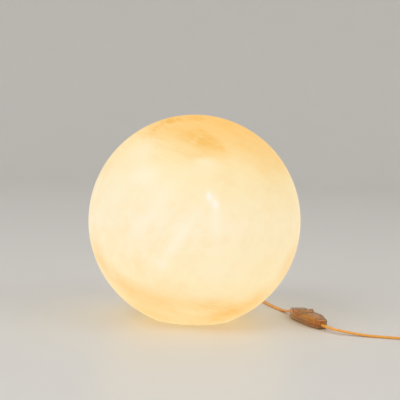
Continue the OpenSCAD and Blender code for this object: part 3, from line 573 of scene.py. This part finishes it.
def clear_flex(name):
    """Golden clear sheath with the copper of both cores showing through it; its orange is deepened by
    painted warm light of the lamp.
    """
    made = settings("flex")
    sheath, strand = made.sheath, made.strand
    r = Recipe(name, IOR=1.5, Coat_Weight=0.25, Coat_Roughness=0.12, Subsurface_Weight=0.12,
               Subsurface_Radius=(0.003, 0.0015, 0.0006), Subsurface_Scale=0.4)
    uv = r.node("SeparateXYZ", {"Vector": r.node("TexCoord").outputs["UV"]})
    along, around = uv.outputs["X"], uv.outputs["Y"]
    lobe = r.calc("ABSOLUTE", r.calc("COSINE", r.times(around, 2 * math.tau)))
    twist = r.times(around, 4 * math.tau)
    lay = r.calc("SINE", r.calc("MULTIPLY_ADD", along, math.tau / STRAND_LAY, twist))
    at = r.place()
    haze = r.noise(at, 70.0, 4.0, 0.6)
    copper = r.times(r.band(lobe, 0.25, 0.9), r.band(lay, -1.0, 1.0, 0.5, 0.8))
    tone = r.mix(r.times(copper, 0.4), sheath, strand)
    tone = r.mix(r.band(haze, 0.35, 0.75, 0.0, 0.45), tone, shade(sheath, 1.12))
    r.set(Base_Color=tone, Roughness=r.band(haze, 0.3, 0.7, 0.18, 0.32))
    r.bump(r.plus(r.times(lay, 0.06), haze), 0.15, 0.1 * MM)
    return r.material


def moulded(name, tone, low=0.28, high=0.42, grain=900.0, **plain):
    """Moulded plastic with flow marks and a fine skin."""
    r = Recipe(name, **plain)
    at = r.place()
    flow = r.noise(r.stretch(at, scale=(1, 1, 3)), 60.0, 4.0, 0.55, 0.6)
    r.set(Base_Color=r.mix(r.band(flow, 0.35, 0.7), shade(tone, 0.97), shade(tone, 1.03)),
          Roughness=r.band(flow, 0.3, 0.7, low, high))
    r.bump(r.noise(at, grain, 2.0), 0.12, 0.05 * MM)
    return r.material


def clear_plastic(name, tone, low, high, through):
    """Clear tinted plastic with faint flow lines and a few scratches."""
    r = Recipe(name, IOR=1.49, Transmission_Weight=through, Specular_IOR_Level=0.5)
    at = r.place()
    flow = r.noise(r.stretch(at, (0, 0, SWITCH_TURN), (0.6, 3.0, 3.0)), 110.0, 3.0, 0.5, 0.4)
    scratch = r.noise(r.stretch(at, (0, 0, SWITCH_TURN), (0.4, 14.0, 6.0)), 240.0, 2.0, 0.7)
    wear = r.plus(flow, r.times(scratch, 0.3))
    r.set(Base_Color=r.mix(r.band(flow, 0.25, 0.75), shade(tone, 0.97), shade(tone, 1.03)),
          Roughness=r.band(wear, 0.4, 0.9, low, high))
    r.bump(wear, 0.05, 0.1 * MM)
    return r.material


def steatite(name):
    """Unglazed white ceramic, slightly speckled."""
    r = Recipe(name, Specular_IOR_Level=0.4)
    at = r.place()
    speck = r.noise(at, 700.0, 3.0, 0.7)
    r.set(Base_Color=r.mix(r.band(speck, 0.62, 0.72), (0.80, 0.77, 0.70), (0.50, 0.46, 0.40)),
          Roughness=r.band(r.noise(at, 80.0), 0.3, 0.7, 0.5, 0.68))
    r.bump(speck, 0.25, 0.06 * MM)
    return r.material


def metal(name, tone, tarnish, low, high, brushed=(1, 1, 1)):
    """Bare metal with drawn lines and a little tarnish."""
    r = Recipe(name, Metallic=1.0)
    at = r.place()
    lines = r.noise(r.stretch(at, scale=brushed), 500.0, 3.0, 0.6)
    stain = r.noise(at, 90.0, 4.0, 0.6)
    r.set(Base_Color=r.mix(r.band(stain, 0.45, 0.75, 0.0, 0.7), tone, tarnish),
          Roughness=r.band(r.plus(stain, r.times(lines, 0.4)), 0.45, 1.0, low, high))
    r.bump(lines, 0.10, 0.04 * MM)
    return r.material


def clear_glass(name):
    """Clear bulb glass with faint seeds."""
    r = Recipe(name, Base_Color=(1.0, 0.99, 0.96), IOR=1.47, Transmission_Weight=1.0)
    at = r.place()
    seed = r.noise(at, 140.0, 2.0)
    r.set(Roughness=r.band(seed, 0.5, 0.75, 0.01, 0.05))
    r.bump(seed, 0.04, 0.1 * MM)
    return r.material


def black_glass(name):
    """Black glass insulator of the bulb's cap."""
    r = Recipe(name, IOR=1.55)
    swirl = r.noise(r.place(), 300.0, 4.0, 0.6, 1.0)
    r.set(Base_Color=r.mix(swirl, (0.008, 0.008, 0.012), (0.03, 0.028, 0.04)),
          Roughness=r.band(swirl, 0.3, 0.7, 0.08, 0.2))
    return r.material


def glowing_filament(name):
    """Glowing tungsten, a little hotter in places."""
    tone = settings("base").filament
    r = Recipe(name, Roughness=0.5, Emission_Strength=6.0)
    heat = r.noise(r.place(), 220.0, 2.0)
    r.set(Base_Color=r.mix(heat, (0.20, 0.15, 0.10), (0.34, 0.25, 0.15)),
          Emission_Color=r.mix(r.band(heat, 0.3, 0.7), tone, shade(tone, 1.25)))
    return r.material


def pale_floor(name):
    """Plain pale floor with a slight satin."""
    tone = settings("stage").floor
    r = Recipe(name, Specular_IOR_Level=0.3)
    grain = r.noise(r.place(), 9.0, 3.0)
    r.set(Base_Color=r.mix(grain, shade(tone, 0.985), shade(tone, 1.015)),
          Roughness=r.band(grain, 0.3, 0.7, 0.36, 0.42))
    return r.material


FINISHES = {
    "cloudy_glass": cloudy_glass,
    "zinc_steel": plated_steel,
    "grey_rubber": grey_rubber,
    "clear_flex": clear_flex,
    "holder_plastic": lambda name: moulded(name, settings("base").holder),
    "steatite": steatite,
    "brass": lambda name: metal(name, settings("base").brass, (0.50, 0.30, 0.10), 0.18, 0.4),
    "bulb_glass": clear_glass,
    "cap_metal": lambda name: metal(name, (0.72, 0.72, 0.73), (0.52, 0.50, 0.46), 0.2, 0.42, (1, 1, 8)),
    "black_glass": black_glass,
    "filament": glowing_filament,
    # The switch's tints carry painted warm light of the lamp as well as the plastic's own amber
    "clear_shell": lambda name: clear_plastic(name, settings("switch").shell, 0.06, 0.16, 0.88),
    "clear_rocker": lambda name: clear_plastic(name, settings("switch").rocker, 0.08, 0.18, 0.75),
    "plug_plastic": lambda name: moulded(name, (0.74, 0.45, 0.16), 0.22, 0.38, 700.0, Coat_Weight=0.3,
                                         Coat_Roughness=0.15, Subsurface_Weight=0.15,
                                         Subsurface_Radius=(0.004, 0.002, 0.001), Subsurface_Scale=0.5),
    "pin_metal": lambda name: metal(name, (0.70, 0.67, 0.60), (0.50, 0.44, 0.34), 0.2, 0.38, (8, 1, 1)),
    "sleeve_plastic": lambda name: moulded(name, (0.035, 0.034, 0.033), 0.35, 0.5),
    "floor": pale_floor,
}


def finish(slot):
    """The material of a slot, made the first time that it is asked for."""
    return bpy.data.materials.get(LOOK + slot) or FINISHES[slot](slot)


# Pieces


def new_object(name, bm, sharp=40.0):
    """A smooth-shaded object made from a bmesh, sharp at edges steeper than an angle."""
    mesh = bpy.data.meshes.new(name)
    bm.to_mesh(mesh)
    bm.free()
    mesh.polygons.foreach_set("use_smooth", [True] * len(mesh.polygons))
    mesh.set_sharp_from_angle(angle=math.radians(sharp))
    made = bpy.data.objects.new(name, mesh)
    bpy.context.scene.collection.objects.link(made)
    return made


def dress(piece, body, slot, *nodes):
    """Gives a piece its material, its body and the CAD nodes whose place it takes."""
    piece.data.materials.append(finish(slot))
    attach(piece, body)
    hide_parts(*nodes)


def dress_nodes(*names):
    """Gives CAD nodes the materials of their own slots."""
    slots = {part["node"]: part["material_slot"] for part in frame["record"]["subparts"]}
    for name in names:
        NODES[name].material_slots[0].material = finish(slots[name])


def face_outwards(bm):
    bmesh.ops.recalc_face_normals(bm, faces=bm.faces)


def spun(profile, steps=96):
    """A bmesh turned about Z from a profile of radius and height."""
    bm = bmesh.new()
    verts = [bm.verts.new((r, 0.0, z)) for r, z in profile]
    edges = [bm.edges.new(pair) for pair in zip(verts, verts[1:])]
    bmesh.ops.spin(bm, geom=verts + edges, axis=(0, 0, 1), cent=(0, 0, 0), steps=steps,
                   angle=math.tau, use_merge=True)
    bmesh.ops.remove_doubles(bm, verts=bm.verts, dist=WELD)
    face_outwards(bm)
    return bm


def arc(centre, radius, start, end, steps):
    """Points on an arc in a profile, angles in degrees."""
    turns = [math.radians(start + (end - start) * i / steps) for i in range(steps + 1)]
    return [(centre[0] + radius * math.cos(t), centre[1] + radius * math.sin(t)) for t in turns]


def carve(piece, cutter):
    """Cuts one object out of another for good and removes the cutter."""
    cut = piece.modifiers.new("cut", "BOOLEAN")
    cut.object = cutter
    cut.operation = "DIFFERENCE"
    cut.solver = "EXACT"
    seen = piece.evaluated_get(bpy.context.evaluated_depsgraph_get())
    carved = bpy.data.meshes.new_from_object(seen)
    piece.modifiers.clear()
    piece.data = carved
    bpy.data.objects.remove(cutter)


def ring(bm, points):
    """The edges of a closed ring through points."""
    verts = [bm.verts.new(p) for p in points]
    return [bm.edges.new(pair) for pair in zip(verts, verts[1:] + verts[:1])]


def pull(bm, faces, depth):
    """Extrudes faces along Y into a solid."""
    out = bmesh.ops.extrude_face_region(bm, geom=faces)
    bmesh.ops.translate(bm, verts=[v for v in out["geom"] if isinstance(v, bmesh.types.BMVert)],
                        vec=(0, depth, 0))
    face_outwards(bm)


def slab(profile, y, depth):
    """A bmesh with a profile of x and z, from y on along Y."""
    bm = bmesh.new()
    pull(bm, [bm.faces.new([bm.verts.new((x, y, z)) for x, z in profile])], depth)
    return bm


def soften_edges(bm, edges, offset, segments):
    bmesh.ops.bevel(bm, geom=edges, offset=offset, segments=segments, profile=0.5, affect="EDGES",
                    material=-1, clamp_overlap=True)


def soften(piece, width, sharp=30, harden=False):
    """A bevel on a piece's edges that are steeper than an angle in degrees."""
    bevel = piece.modifiers.new("soften", "BEVEL")
    bevel.width = width
    bevel.segments = 2
    bevel.limit_method = "ANGLE"
    bevel.angle_limit = math.radians(sharp)
    bevel.harden_normals = harden


def merged_copy(node, name, sharp, edge):
    """A piece with the shape of a CAD node, merged, smoothed and softened at its edges."""
    bm = bmesh.new()
    bm.from_mesh(NODES[node].data)
    bmesh.ops.remove_doubles(bm, verts=bm.verts, dist=WELD_CAD)
    bmesh.ops.dissolve_limit(bm, angle_limit=NEARLY_FLAT, verts=bm.verts, edges=bm.edges)
    made = new_object(name, bm, sharp)
    soften(made, edge, sharp, harden=True)
    return made


def sweep(route, outline, ups=None):
    """A closed tube along a route. UV x is the distance along it and y goes once round it."""
    points = [Vector(p) for p in route]
    bm = bmesh.new()
    uv = bm.loops.layers.uv.new("UVMap")
    rings, reach = [], [0.0]
    for i, point in enumerate(points):
        way = (points[min(i + 1, len(points) - 1)] - points[max(i - 1, 0)]).normalized()
        across = way.cross(ups[i]).normalized() if ups else Vector((way.y, -way.x, 0)).normalized()
        up = across.cross(way)
        rings.append([bm.verts.new(point + across * x + up * y) for x, y in outline])
        if i:
            reach.append(reach[-1] + (point - points[i - 1]).length)
    count = len(outline)
    for i in range(len(rings) - 1):
        for k in range(count):
            m = (k + 1) % count
            face = bm.faces.new((rings[i][k], rings[i][m], rings[i + 1][m], rings[i + 1][k]))
            marks = ((reach[i], k), (reach[i], k + 1), (reach[i + 1], k + 1), (reach[i + 1], k))
            for loop, (u, v) in zip(face.loops, marks):
                loop[uv].uv = (u, v / count)
    bm.faces.new(rings[0][::-1])
    bm.faces.new(rings[-1])
    face_outwards(bm)
    return bm


def twin_outline(width, thickness):
    """Outline of a flat twin flex: two round lobes and the grooves between them."""
    radius = thickness / 2
    middle = width / 2 - radius
    right = arc((middle, 0), radius, -TWIN_LOBE, TWIN_LOBE, TWIN_STEPS)
    left = [(-x, -y) for x, y in right]
    return [(0, -radius * TWIN_GROOVE), *right, (0, radius * TWIN_GROOVE), *left]


def rounded(route, passes=1):
    """A route that bends more smoothly, its corners cut at a quarter of each stretch on each pass."""
    points = [Vector(p) for p in route]
    for _ in range(passes):
        cut = [points[0]]
        for a, b in zip(points, points[1:]):
            cut += [a.lerp(b, 0.25), a.lerp(b, 0.75)]
        points = [*cut, points[-1]]
    return points


def on_switch(x, z):
    """A point along the middle of the switch."""
    return SWITCH_AT + Vector((x * math.cos(SWITCH_TURN), x * math.sin(SWITCH_TURN), z))


def on_plug(x, y=0.0, z=0.0):
    """The place of a point given in the plug's own frame."""
    return PLUG_AT + Matrix.Rotation(PLUG_TURN, 3, "Z") @ Vector((x, y, z))


def coil_point(turn):
    """Centre of the flex in the coil after some turns: in and out again, a layer higher each time."""
    in_pair = turn % (2 * COIL_LAYER_TURNS)
    inward = in_pair if in_pair < COIL_LAYER_TURNS else 2 * COIL_LAYER_TURNS - in_pair
    radius = COIL_RADIUS - COIL_PITCH * inward
    layer = sum(
        min(max((turn - COIL_LAYER_TURNS * k) / COIL_CLIMB + 0.5, 0), 1) for k in range(1, COIL_LAYERS)
    )
    angle = COIL_START + math.tau * turn
    from_tie = abs((angle - TIE_ANGLE + math.pi) % math.tau - math.pi)
    lift = TIE_LIFT * math.cos(min(from_tie / TIE_REACH, 1) * math.pi / 2) ** 2
    half = settings("flex").thickness / 2
    return COIL_AT + Vector((radius * math.cos(angle), radius * math.sin(angle),
                             half + COIL_LAYER * layer + lift))


def coil_route():
    """The coil, straight for two widths of the flex at both ends."""
    width = settings("flex").width
    step = 1 / COIL_RINGS
    turns = [i * step for i in range(int(COIL_TURNS * COIL_RINGS) + 1)] + [COIL_TURNS]
    points = [coil_point(t) for t in turns]
    into = (coil_point(step / 4) - points[0]).normalized()
    out = (points[-1] - coil_point(COIL_TURNS - step / 4)).normalized()
    return [points[0] - into * 2 * width, points[0] - into * width, *points,
            points[-1] + out * width, points[-1] + out * 2 * width]


class LAMP_OT_flex(bpy.types.Operator):
    """Lay the flat twin flex: from the lamp to the switch, and on through its coil to the plug"""

    bl_idname = "lamp.flex"
    bl_label = "Flex"

    def execute(self, context):
        made = settings("flex")
        outline = twin_outline(made.width, made.thickness)
        lead = rounded([BOOT_TIP, BOOT_TIP + Vector((0, BOOT_STRAIGHT, 0)), *LEAD_ROUTE,
                        on_switch(-SWITCH_LENGTH / 2 - FLEX_STRAIGHT, SWITCH_SEAM),
                        on_switch(-SWITCH_LENGTH / 2, SWITCH_SEAM)])
        piece = new_object("flex_lead", sweep(lead, outline), sharp=60)
        dress(piece, "base", "clear_flex", "lead_flex")

        start = [on_switch(SWITCH_LENGTH / 2, SWITCH_SEAM),
                 on_switch(SWITCH_LENGTH / 2 + FLEX_STRAIGHT, SWITCH_SEAM), *MAIN_ROUTE]
        end = [*TAIL_ROUTE, on_plug(-FLEX_STRAIGHT), on_plug(0.0)]
        coil = coil_route()
        run = [*rounded([*start, coil[0]]), *coil[1:-1], *rounded([coil[-1], *end])]
        piece = new_object("flex_run", sweep(run, outline), sharp=60)
        dress(piece, "base", "clear_flex", "main_flex", "flex_coil", "tail_flex")
        return {"FINISHED"}


class LAMP_OT_globe(bpy.types.Operator):
    """Blow the glass ball, with its flat, ground rim and the notch for the flex"""

    bl_idname = "lamp.globe"
    bl_label = "Glass globe"

    def execute(self, context):
        made = settings("globe")
        inner_r = GLOBE_R - made.wall
        flat_r, hole_r = made.flat / 2, made.opening / 2
        foot = math.degrees(math.atan2(-GLOBE_Z, flat_r))
        lip = math.degrees(math.atan2(-math.sqrt(inner_r**2 - hole_r**2), hole_r))
        outside = arc((0, GLOBE_Z), GLOBE_R, 90, foot + RIM_STOP, GLASS_STEPS)
        profile = [
            *outside, (outside[-1][0] - RIM_HEEL[0], RIM_HEEL[1]), (flat_r - RIM_FLAT_IN, 0.0),
            (hole_r + RIM_LIP[0], 0.0), (hole_r, RIM_LIP[1]),
            *arc((0, GLOBE_Z), inner_r, lip, 90, GLASS_INNER_STEPS),
        ]
        globe = new_object("globe_glass", spun(profile, GLASS_TURN_STEPS), sharp=30)

        half, rise = made.notch / 2, made.notch_rise
        outline = [(half, -rise), *arc((0, rise), half, 0, 180, NOTCH_STEPS), (-half, -rise)]
        carve(globe, new_object("notch_cutter", slab(outline, 0.0, GLOBE_R)))
        dress(globe, "globe", "cloudy_glass", "globe")
        return {"FINISHED"}


class LAMP_OT_base(bpy.types.Operator):
    """Finish the pan, its buffers, the rubber boot, the nipple and its nuts"""

    bl_idname = "lamp.base"
    bl_label = "Base pan and boot"

    def execute(self, context):
        dress_nodes("base_pan", "rubber_buffers", "strain_relief", "inner_lead", "nipple",
                    "lower_nut", "lock_washer", "upper_nut")
        return {"FINISHED"}


class LAMP_OT_lampholder(bpy.types.Operator):
    """Finish the lampholder and what is in it"""

    bl_idname = "lamp.lampholder"
    bl_label = "Lampholder"

    def execute(self, context):
        dress_nodes("holder_cap", "grub_screw", "holder_core", "terminal_screws", "holder_wires",
                    "centre_contact", "screw_shell", "holder_shell")
        return {"FINISHED"}


class LAMP_OT_bulb(bpy.types.Operator):
    """Finish the bulb, with a thread on its cap and a wound filament"""

    bl_idname = "lamp.bulb"
    bl_label = "Bulb"

    def execute(self, context):
        dress_nodes("bulb_insulator", "bulb_tip", "bulb_stem", "bulb_wires")
        low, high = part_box("bulb_cap")
        radius = (high.x - low.x) / 2
        inner = radius - settings("base").cap_sheet
        self.blow(radius, high.z, inner - CAP_FIT)
        self.thread(low, high, radius, inner)
        self.wind()
        return {"FINISHED"}

    def thread(self, low, high, radius, inner):
        """The bulb's cap: turned from its profile, with the thread pressed into its wall."""
        made = settings("base")
        wall_z = low.z + CAP_FOOT_H
        levels = [wall_z + (high.z - wall_z) * i / CAP_STEPS for i in range(CAP_STEPS + 1)]
        profile = [(CAP_HOLE_R, low.z), *((radius - inset, low.z + rise) for inset, rise in CAP_FOOT),
                   *((radius, z) for z in levels), *((inner, z) for z in reversed(levels)),
                   (radius - CAP_FOOT_IN, low.z + made.cap_sheet), (CAP_HOLE_R, low.z + made.cap_sheet),
                   (CAP_HOLE_R, low.z)]
        bm = spun(profile)
        for vert in bm.verts:
            reach, up = vert.co.xy.length, (vert.co.z - low.z) / (high.z - low.z)
            if reach > inner - CAP_NEAR:
                phase = vert.co.z / made.thread_pitch - math.atan2(vert.co.y, vert.co.x) / math.tau
                fade = min(1.0, max(0.0, min(up - THREAD_FROM, THREAD_TO - up) / THREAD_FADE))
                dip = made.thread_depth * fade * (0.5 - 0.5 * math.cos(math.tau * phase))
                vert.co.xy *= (reach - dip) / reach
        dress(new_object("bulb_thread", bm, sharp=50), "bulb", "cap_metal", "bulb_cap")

    def wind(self):
        """The filament: a wire wound along an arc between its supports."""
        low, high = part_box("filament")
        level, ring_r = (high.z + low.z) / 2, (high.y - low.y) / 2 - FILAMENT_COIL_R
        steps = FILAMENT_TURNS * FILAMENT_SIDES
        route, ups = [], []
        for i in range(steps + 1):
            along = FILAMENT_HALF * (2 * i / steps - 1)
            roll = math.tau * i / FILAMENT_SIDES
            out = Vector((math.cos(along), math.sin(along), 0))
            ups.append(out * math.cos(roll) + Vector((0, 0, math.sin(roll))))
            route.append(out * ring_r + Vector((0, 0, level)) + ups[-1] * FILAMENT_COIL_R)
        section = arc((0, 0), FILAMENT_WIRE_D / 2, 0, 360, FILAMENT_WIRE_SIDES)[:-1]
        dress(new_object("filament_coil", sweep(route, section, ups)), "bulb", "filament", "filament")

    def blow(self, neck_r, neck_z, collar_r):
        """The bulb's glass: a ball that flares into a neck and a collar inside the cap."""
        low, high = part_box("bulb_glass")
        ball_r, wall = (high.x - low.x) / 2, settings("base").bulb_wall
        ball_z = high.z - ball_r
        climb = ball_z - neck_z
        flare = (climb**2 + neck_r**2 - ball_r**2) / (2 * (ball_r - neck_r))
        meet = math.degrees(math.atan2(climb, neck_r + flare))

        def outline(inset):
            ball = arc((0, ball_z), ball_r - inset, 90, -meet, BULB_BALL_STEPS)
            neck = arc((neck_r + flare, neck_z), flare + inset, 180 - meet, 180, BULB_NECK_STEPS)
            return [*ball, *neck[1:]]

        profile = [*outline(0), (collar_r, neck_z), (collar_r, low.z), (collar_r - wall, low.z),
                   (collar_r - wall, neck_z), *reversed(outline(wall))]
        dress(new_object("bulb_envelope", spun(profile), sharp=50), "bulb", "bulb_glass", "bulb_glass")


class LAMP_OT_switch(bpy.types.Operator):
    """Finish the clear in-line switch: its shells, its rocker with grip grooves, and its contacts"""

    bl_idname = "lamp.switch"
    bl_label = "Switch"

    def execute(self, context):
        made = settings("switch")
        for node, name in (("switch_base", "shell_base"), ("switch_cover", "shell_cover")):
            dress(merged_copy(node, name, SHELL_SHARP, SHELL_EDGE), "base", "clear_shell", node)

        half, crown = ROCKER_LENGTH / 2, ROCKER_CROWN
        rise = half * math.tan(ROCKER_TILT)
        reach = math.hypot(half, crown + rise)
        corner = math.degrees(math.atan2(crown + rise, half))
        slope = []
        for i in range(made.ribs):
            x = half * (ROCKER_RIBS_FROM + ROCKER_RIBS_SPAN * i / made.ribs)
            slope += [(x + along, made.rib * depth) for along, depth in RIB_SHAPE]
        right = [(x, crown + rise * x / half + z) for x, z in slope]
        left = [(-x, z) for x, z in reversed(right)]
        profile = [
            (0, crown), *right, *arc((0, 0), reach, corner, -ROCKER_END_DIP, ROCKER_END_STEPS),
            *ROCKER_FOOT,
            *arc((0, 0), reach, 180 + ROCKER_END_DIP, 180 - corner, ROCKER_END_STEPS), *left,
        ]
        bm = slab(profile, -ROCKER_WIDTH / 2, ROCKER_WIDTH)
        rims = [e for e in bm.edges if any(abs(f.normal.y) > 0.5 for f in e.link_faces)]
        soften_edges(bm, rims, ROCKER_EDGE, segments=2)
        pin_r = TRUNNION_D / 2
        bmesh.ops.create_cone(bm, cap_ends=True, segments=TRUNNION_SIDES, radius1=pin_r, radius2=pin_r,
                              depth=TRUNNION_LENGTH, matrix=Matrix.Rotation(math.pi / 2, 4, "X"))
        rocker_at = Matrix.Translation(on_switch(SWITCH_ROCKER_X, SWITCH_PIVOT_Z))
        turn = Matrix.Rotation(SWITCH_TURN, 4, "Z") @ Matrix.Rotation(-ROCKER_TILT, 4, "Y")
        bm.transform(rocker_at @ turn)
        dress(new_object("rocker_ribbed", bm, sharp=30), "rocker", "clear_rocker", "switch_rocker")
        dress_nodes(*SWITCH_METAL)
        return {"FINISHED"}


class LAMP_OT_plug(bpy.types.Operator):
    """Finish the plug, with finger grips on its body"""

    bl_idname = "lamp.plug"
    bl_label = "Plug"

    def execute(self, context):
        bm = bmesh.new()
        rings = []
        for x, width, thick in rounded(PLUG_STATIONS, passes=2):
            middle = (width - thick) / 2
            outline = [*arc((middle, 0), thick / 2, -90, 90, PLUG_SIDE_STEPS),
                       *arc((-middle, 0), thick / 2, 90, 270, PLUG_SIDE_STEPS)]
            rings.append(ring(bm, [on_plug(x, y, z) for y, z in outline]))
        for near, far in zip(rings, rings[1:]):
            bmesh.ops.bridge_loops(bm, edges=near + far)
        bmesh.ops.holes_fill(bm, edges=rings[0] + rings[-1])
        deep, wide, high = GRIP_BAR
        for side in (-1, 1):
            for i in range(GRIP_COUNT):
                rise = side * (GRIP_LOW + (GRIP_HIGH - GRIP_LOW) * i / (GRIP_COUNT - 1))
                at = Matrix.Translation(on_plug(GRIP_START + GRIP_PITCH * i, 0, rise))
                size = Matrix.Diagonal((deep, wide + GRIP_WIDENS * GRIP_PITCH * i, high, 1))
                place = at @ Matrix.Rotation(PLUG_TURN, 4, "Z") @ size
                bar = bmesh.ops.create_cube(bm, size=1.0, matrix=place)
                edges = {e for v in bar["verts"] for e in v.link_edges}
                soften_edges(bm, list(edges), GRIP_EDGE, segments=3)
        face_outwards(bm)
        dress(new_object("plug_moulding", bm, sharp=35), "base", "plug_plastic", "plug_body")
        dress_nodes(*PLUG_METAL)
        return {"FINISHED"}


class LAMP_OT_tie(bpy.types.Operator):
    """Put the tie round the coiled flex"""

    bl_idname = "lamp.tie"
    bl_label = "Coil tie"

    def execute(self, context):
        made = settings("flex")
        loops = [coil_point(k + 0.5) for k in range(int(COIL_TURNS))]
        reach = [(p - COIL_AT).xy.length for p in loops]
        near, far = min(reach) - made.width / 2, max(reach) + made.width / 2
        top = max(p.z for p in loops) + made.thickness / 2
        middle = Vector(((near + far) / 2, (top + TIE_SLACK + TIE_THICK) / 2))
        half = Vector(((far - near) / 2 + 2 * TIE_SLACK, (top + TIE_SLACK - TIE_THICK) / 2))
        half -= Vector((TIE_CORNER, TIE_CORNER))
        bm = bmesh.new()
        rings = []
        for grow in (0.0, TIE_THICK):
            points = []
            for k, (sx, sz) in enumerate(((1, 1), (-1, 1), (-1, -1), (1, -1))):
                centre = (middle.x + sx * half.x, middle.y + sz * half.y)
                points += arc(centre, TIE_CORNER + grow, 90 * k, 90 * k + 90, TIE_CORNER_STEPS)
            rings += ring(bm, [(x, -TIE_WIDTH / 2, z) for x, z in points])
        pull(bm, bmesh.ops.bridge_loops(bm, edges=rings)["faces"], TIE_WIDTH)
        bm.transform(Matrix.Translation(COIL_AT) @ Matrix.Rotation(TIE_ANGLE, 4, "Z"))
        tie = new_object("coil_tie", bm)
        soften(tie, TIE_EDGE)
        tie.data.materials.append(moulded("coil_tie", (0.045, 0.043, 0.040), 0.5, 0.7))
        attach(tie, "base")
        return {"FINISHED"}


class LAMP_OT_stage(bpy.types.Operator):
    """Set the pale floor, the soft light and the camera of the photograph"""

    bl_idname = "lamp.stage"
    bl_label = "Stage"

    def execute(self, context):
        made = settings("stage")
        scene = context.scene
        scene.view_settings.view_transform = "Standard"

        back = arc((FLOOR_R, SWEEP_R), SWEEP_R, -90, 0, SWEEP_STEPS)
        wall = (FLOOR_R + SWEEP_R, WALL_H)
        profile = [(0.0, 0.0), (FLOOR_MIDDLE_R, 0.0), *back, wall]
        floor = new_object("floor", spun(profile), sharp=80)
        bpy.context.view_layer.update()
        floor.data.materials.append(finish("floor"))

        world = bpy.data.worlds.new("studio")
        scene.world = world
        world.use_nodes = True
        nodes = Nodes(world.node_tree)
        sky = nodes.tree.nodes["Background"]
        nodes.put(sky.inputs["Color"], SKY_TINT)
        nodes.put(sky.inputs["Strength"], made.sky)
        seen = nodes.node("Background", {"Color": made.backdrop})
        path = nodes.node("LightPath").outputs
        direct = path["Is Camera Ray"]
        for ray in ("Is Glossy Ray", "Is Transmission Ray"):
            direct = nodes.calc("MAXIMUM", direct, path[ray])
        choice = nodes.node("MixShader", {"Fac": direct, 1: sky.outputs[0], 2: seen.outputs[0]})
        nodes.put(nodes.tree.nodes["World Output"].inputs["Surface"], choice.outputs[0])

        for name, power, size, at in LIGHTS:
            light = bpy.data.lights.new(name, "AREA")
            light.energy = getattr(made, power)
            light.size = size
            lamp = bpy.data.objects.new(name, light)
            lamp.location = at
            lamp.rotation_euler = (LIGHT_AIM - Vector(at)).to_track_quat("-Z", "Y").to_euler()
            scene.collection.objects.link(lamp)

        pitch = Matrix.Rotation(math.pi / 2 - CAMERA_PITCH, 4, "X")
        camera = bpy.data.objects.new("camera", bpy.data.cameras.new("camera"))
        camera.data.lens = CAMERA_LENS
        camera.data.sensor_width = CAMERA_SENSOR
        camera.data.shift_y = CAMERA_SHIFT_Y
        camera.data.clip_start, camera.data.clip_end = CAMERA_CLIP
        camera.matrix_world = Matrix.Translation(CAMERA_AT) @ pitch @ Matrix.Rotation(CAMERA_ROLL, 4, "Z")
        scene.collection.objects.link(camera)
        scene.camera = camera
        return {"FINISHED"}


class LAMP_PT_panel(bpy.types.Panel):
    """Sizes, colours and makers of the lamp."""

    bl_idname = "LAMP_PT_panel"
    bl_label = "Globe Lamp"
    bl_space_type = "VIEW_3D"
    bl_region_type = "UI"
    bl_category = "Globe Lamp"

    def draw(self, context):
        for group in GROUPS:
            box = self.layout.box()
            box.label(text=group.capitalize())
            values = settings(group)
            for name in values.__annotations__:
                box.prop(values, name)
        for operator in OPERATORS:
            self.layout.operator(operator.bl_idname)


GROUPS = {
    "globe": LAMP_PG_globe,
    "flex": LAMP_PG_flex,
    "switch": LAMP_PG_switch,
    "base": LAMP_PG_base,
    "stage": LAMP_PG_stage,
}
OPERATORS = (
    LAMP_OT_stage, LAMP_OT_switch, LAMP_OT_plug, LAMP_OT_tie, LAMP_OT_flex, LAMP_OT_globe,
    LAMP_OT_base, LAMP_OT_lampholder, LAMP_OT_bulb,
)


def register():
    for group, cls in GROUPS.items():
        bpy.utils.register_class(cls)
        setattr(bpy.types.Scene, "lamp_" + group, PointerProperty(type=cls))
    for cls in (*OPERATORS, LAMP_PT_panel):
        bpy.utils.register_class(cls)


def unregister():
    for cls in (LAMP_PT_panel, *reversed(OPERATORS)):
        bpy.utils.unregister_class(cls)
    for group, cls in GROUPS.items():
        delattr(bpy.types.Scene, "lamp_" + group)
        bpy.utils.unregister_class(cls)


def main():
    register()
    for operator in OPERATORS:
        family, name = operator.bl_idname.split(".")
        getattr(getattr(bpy.ops, family), name)()


if __name__ == "__main__":
    main()
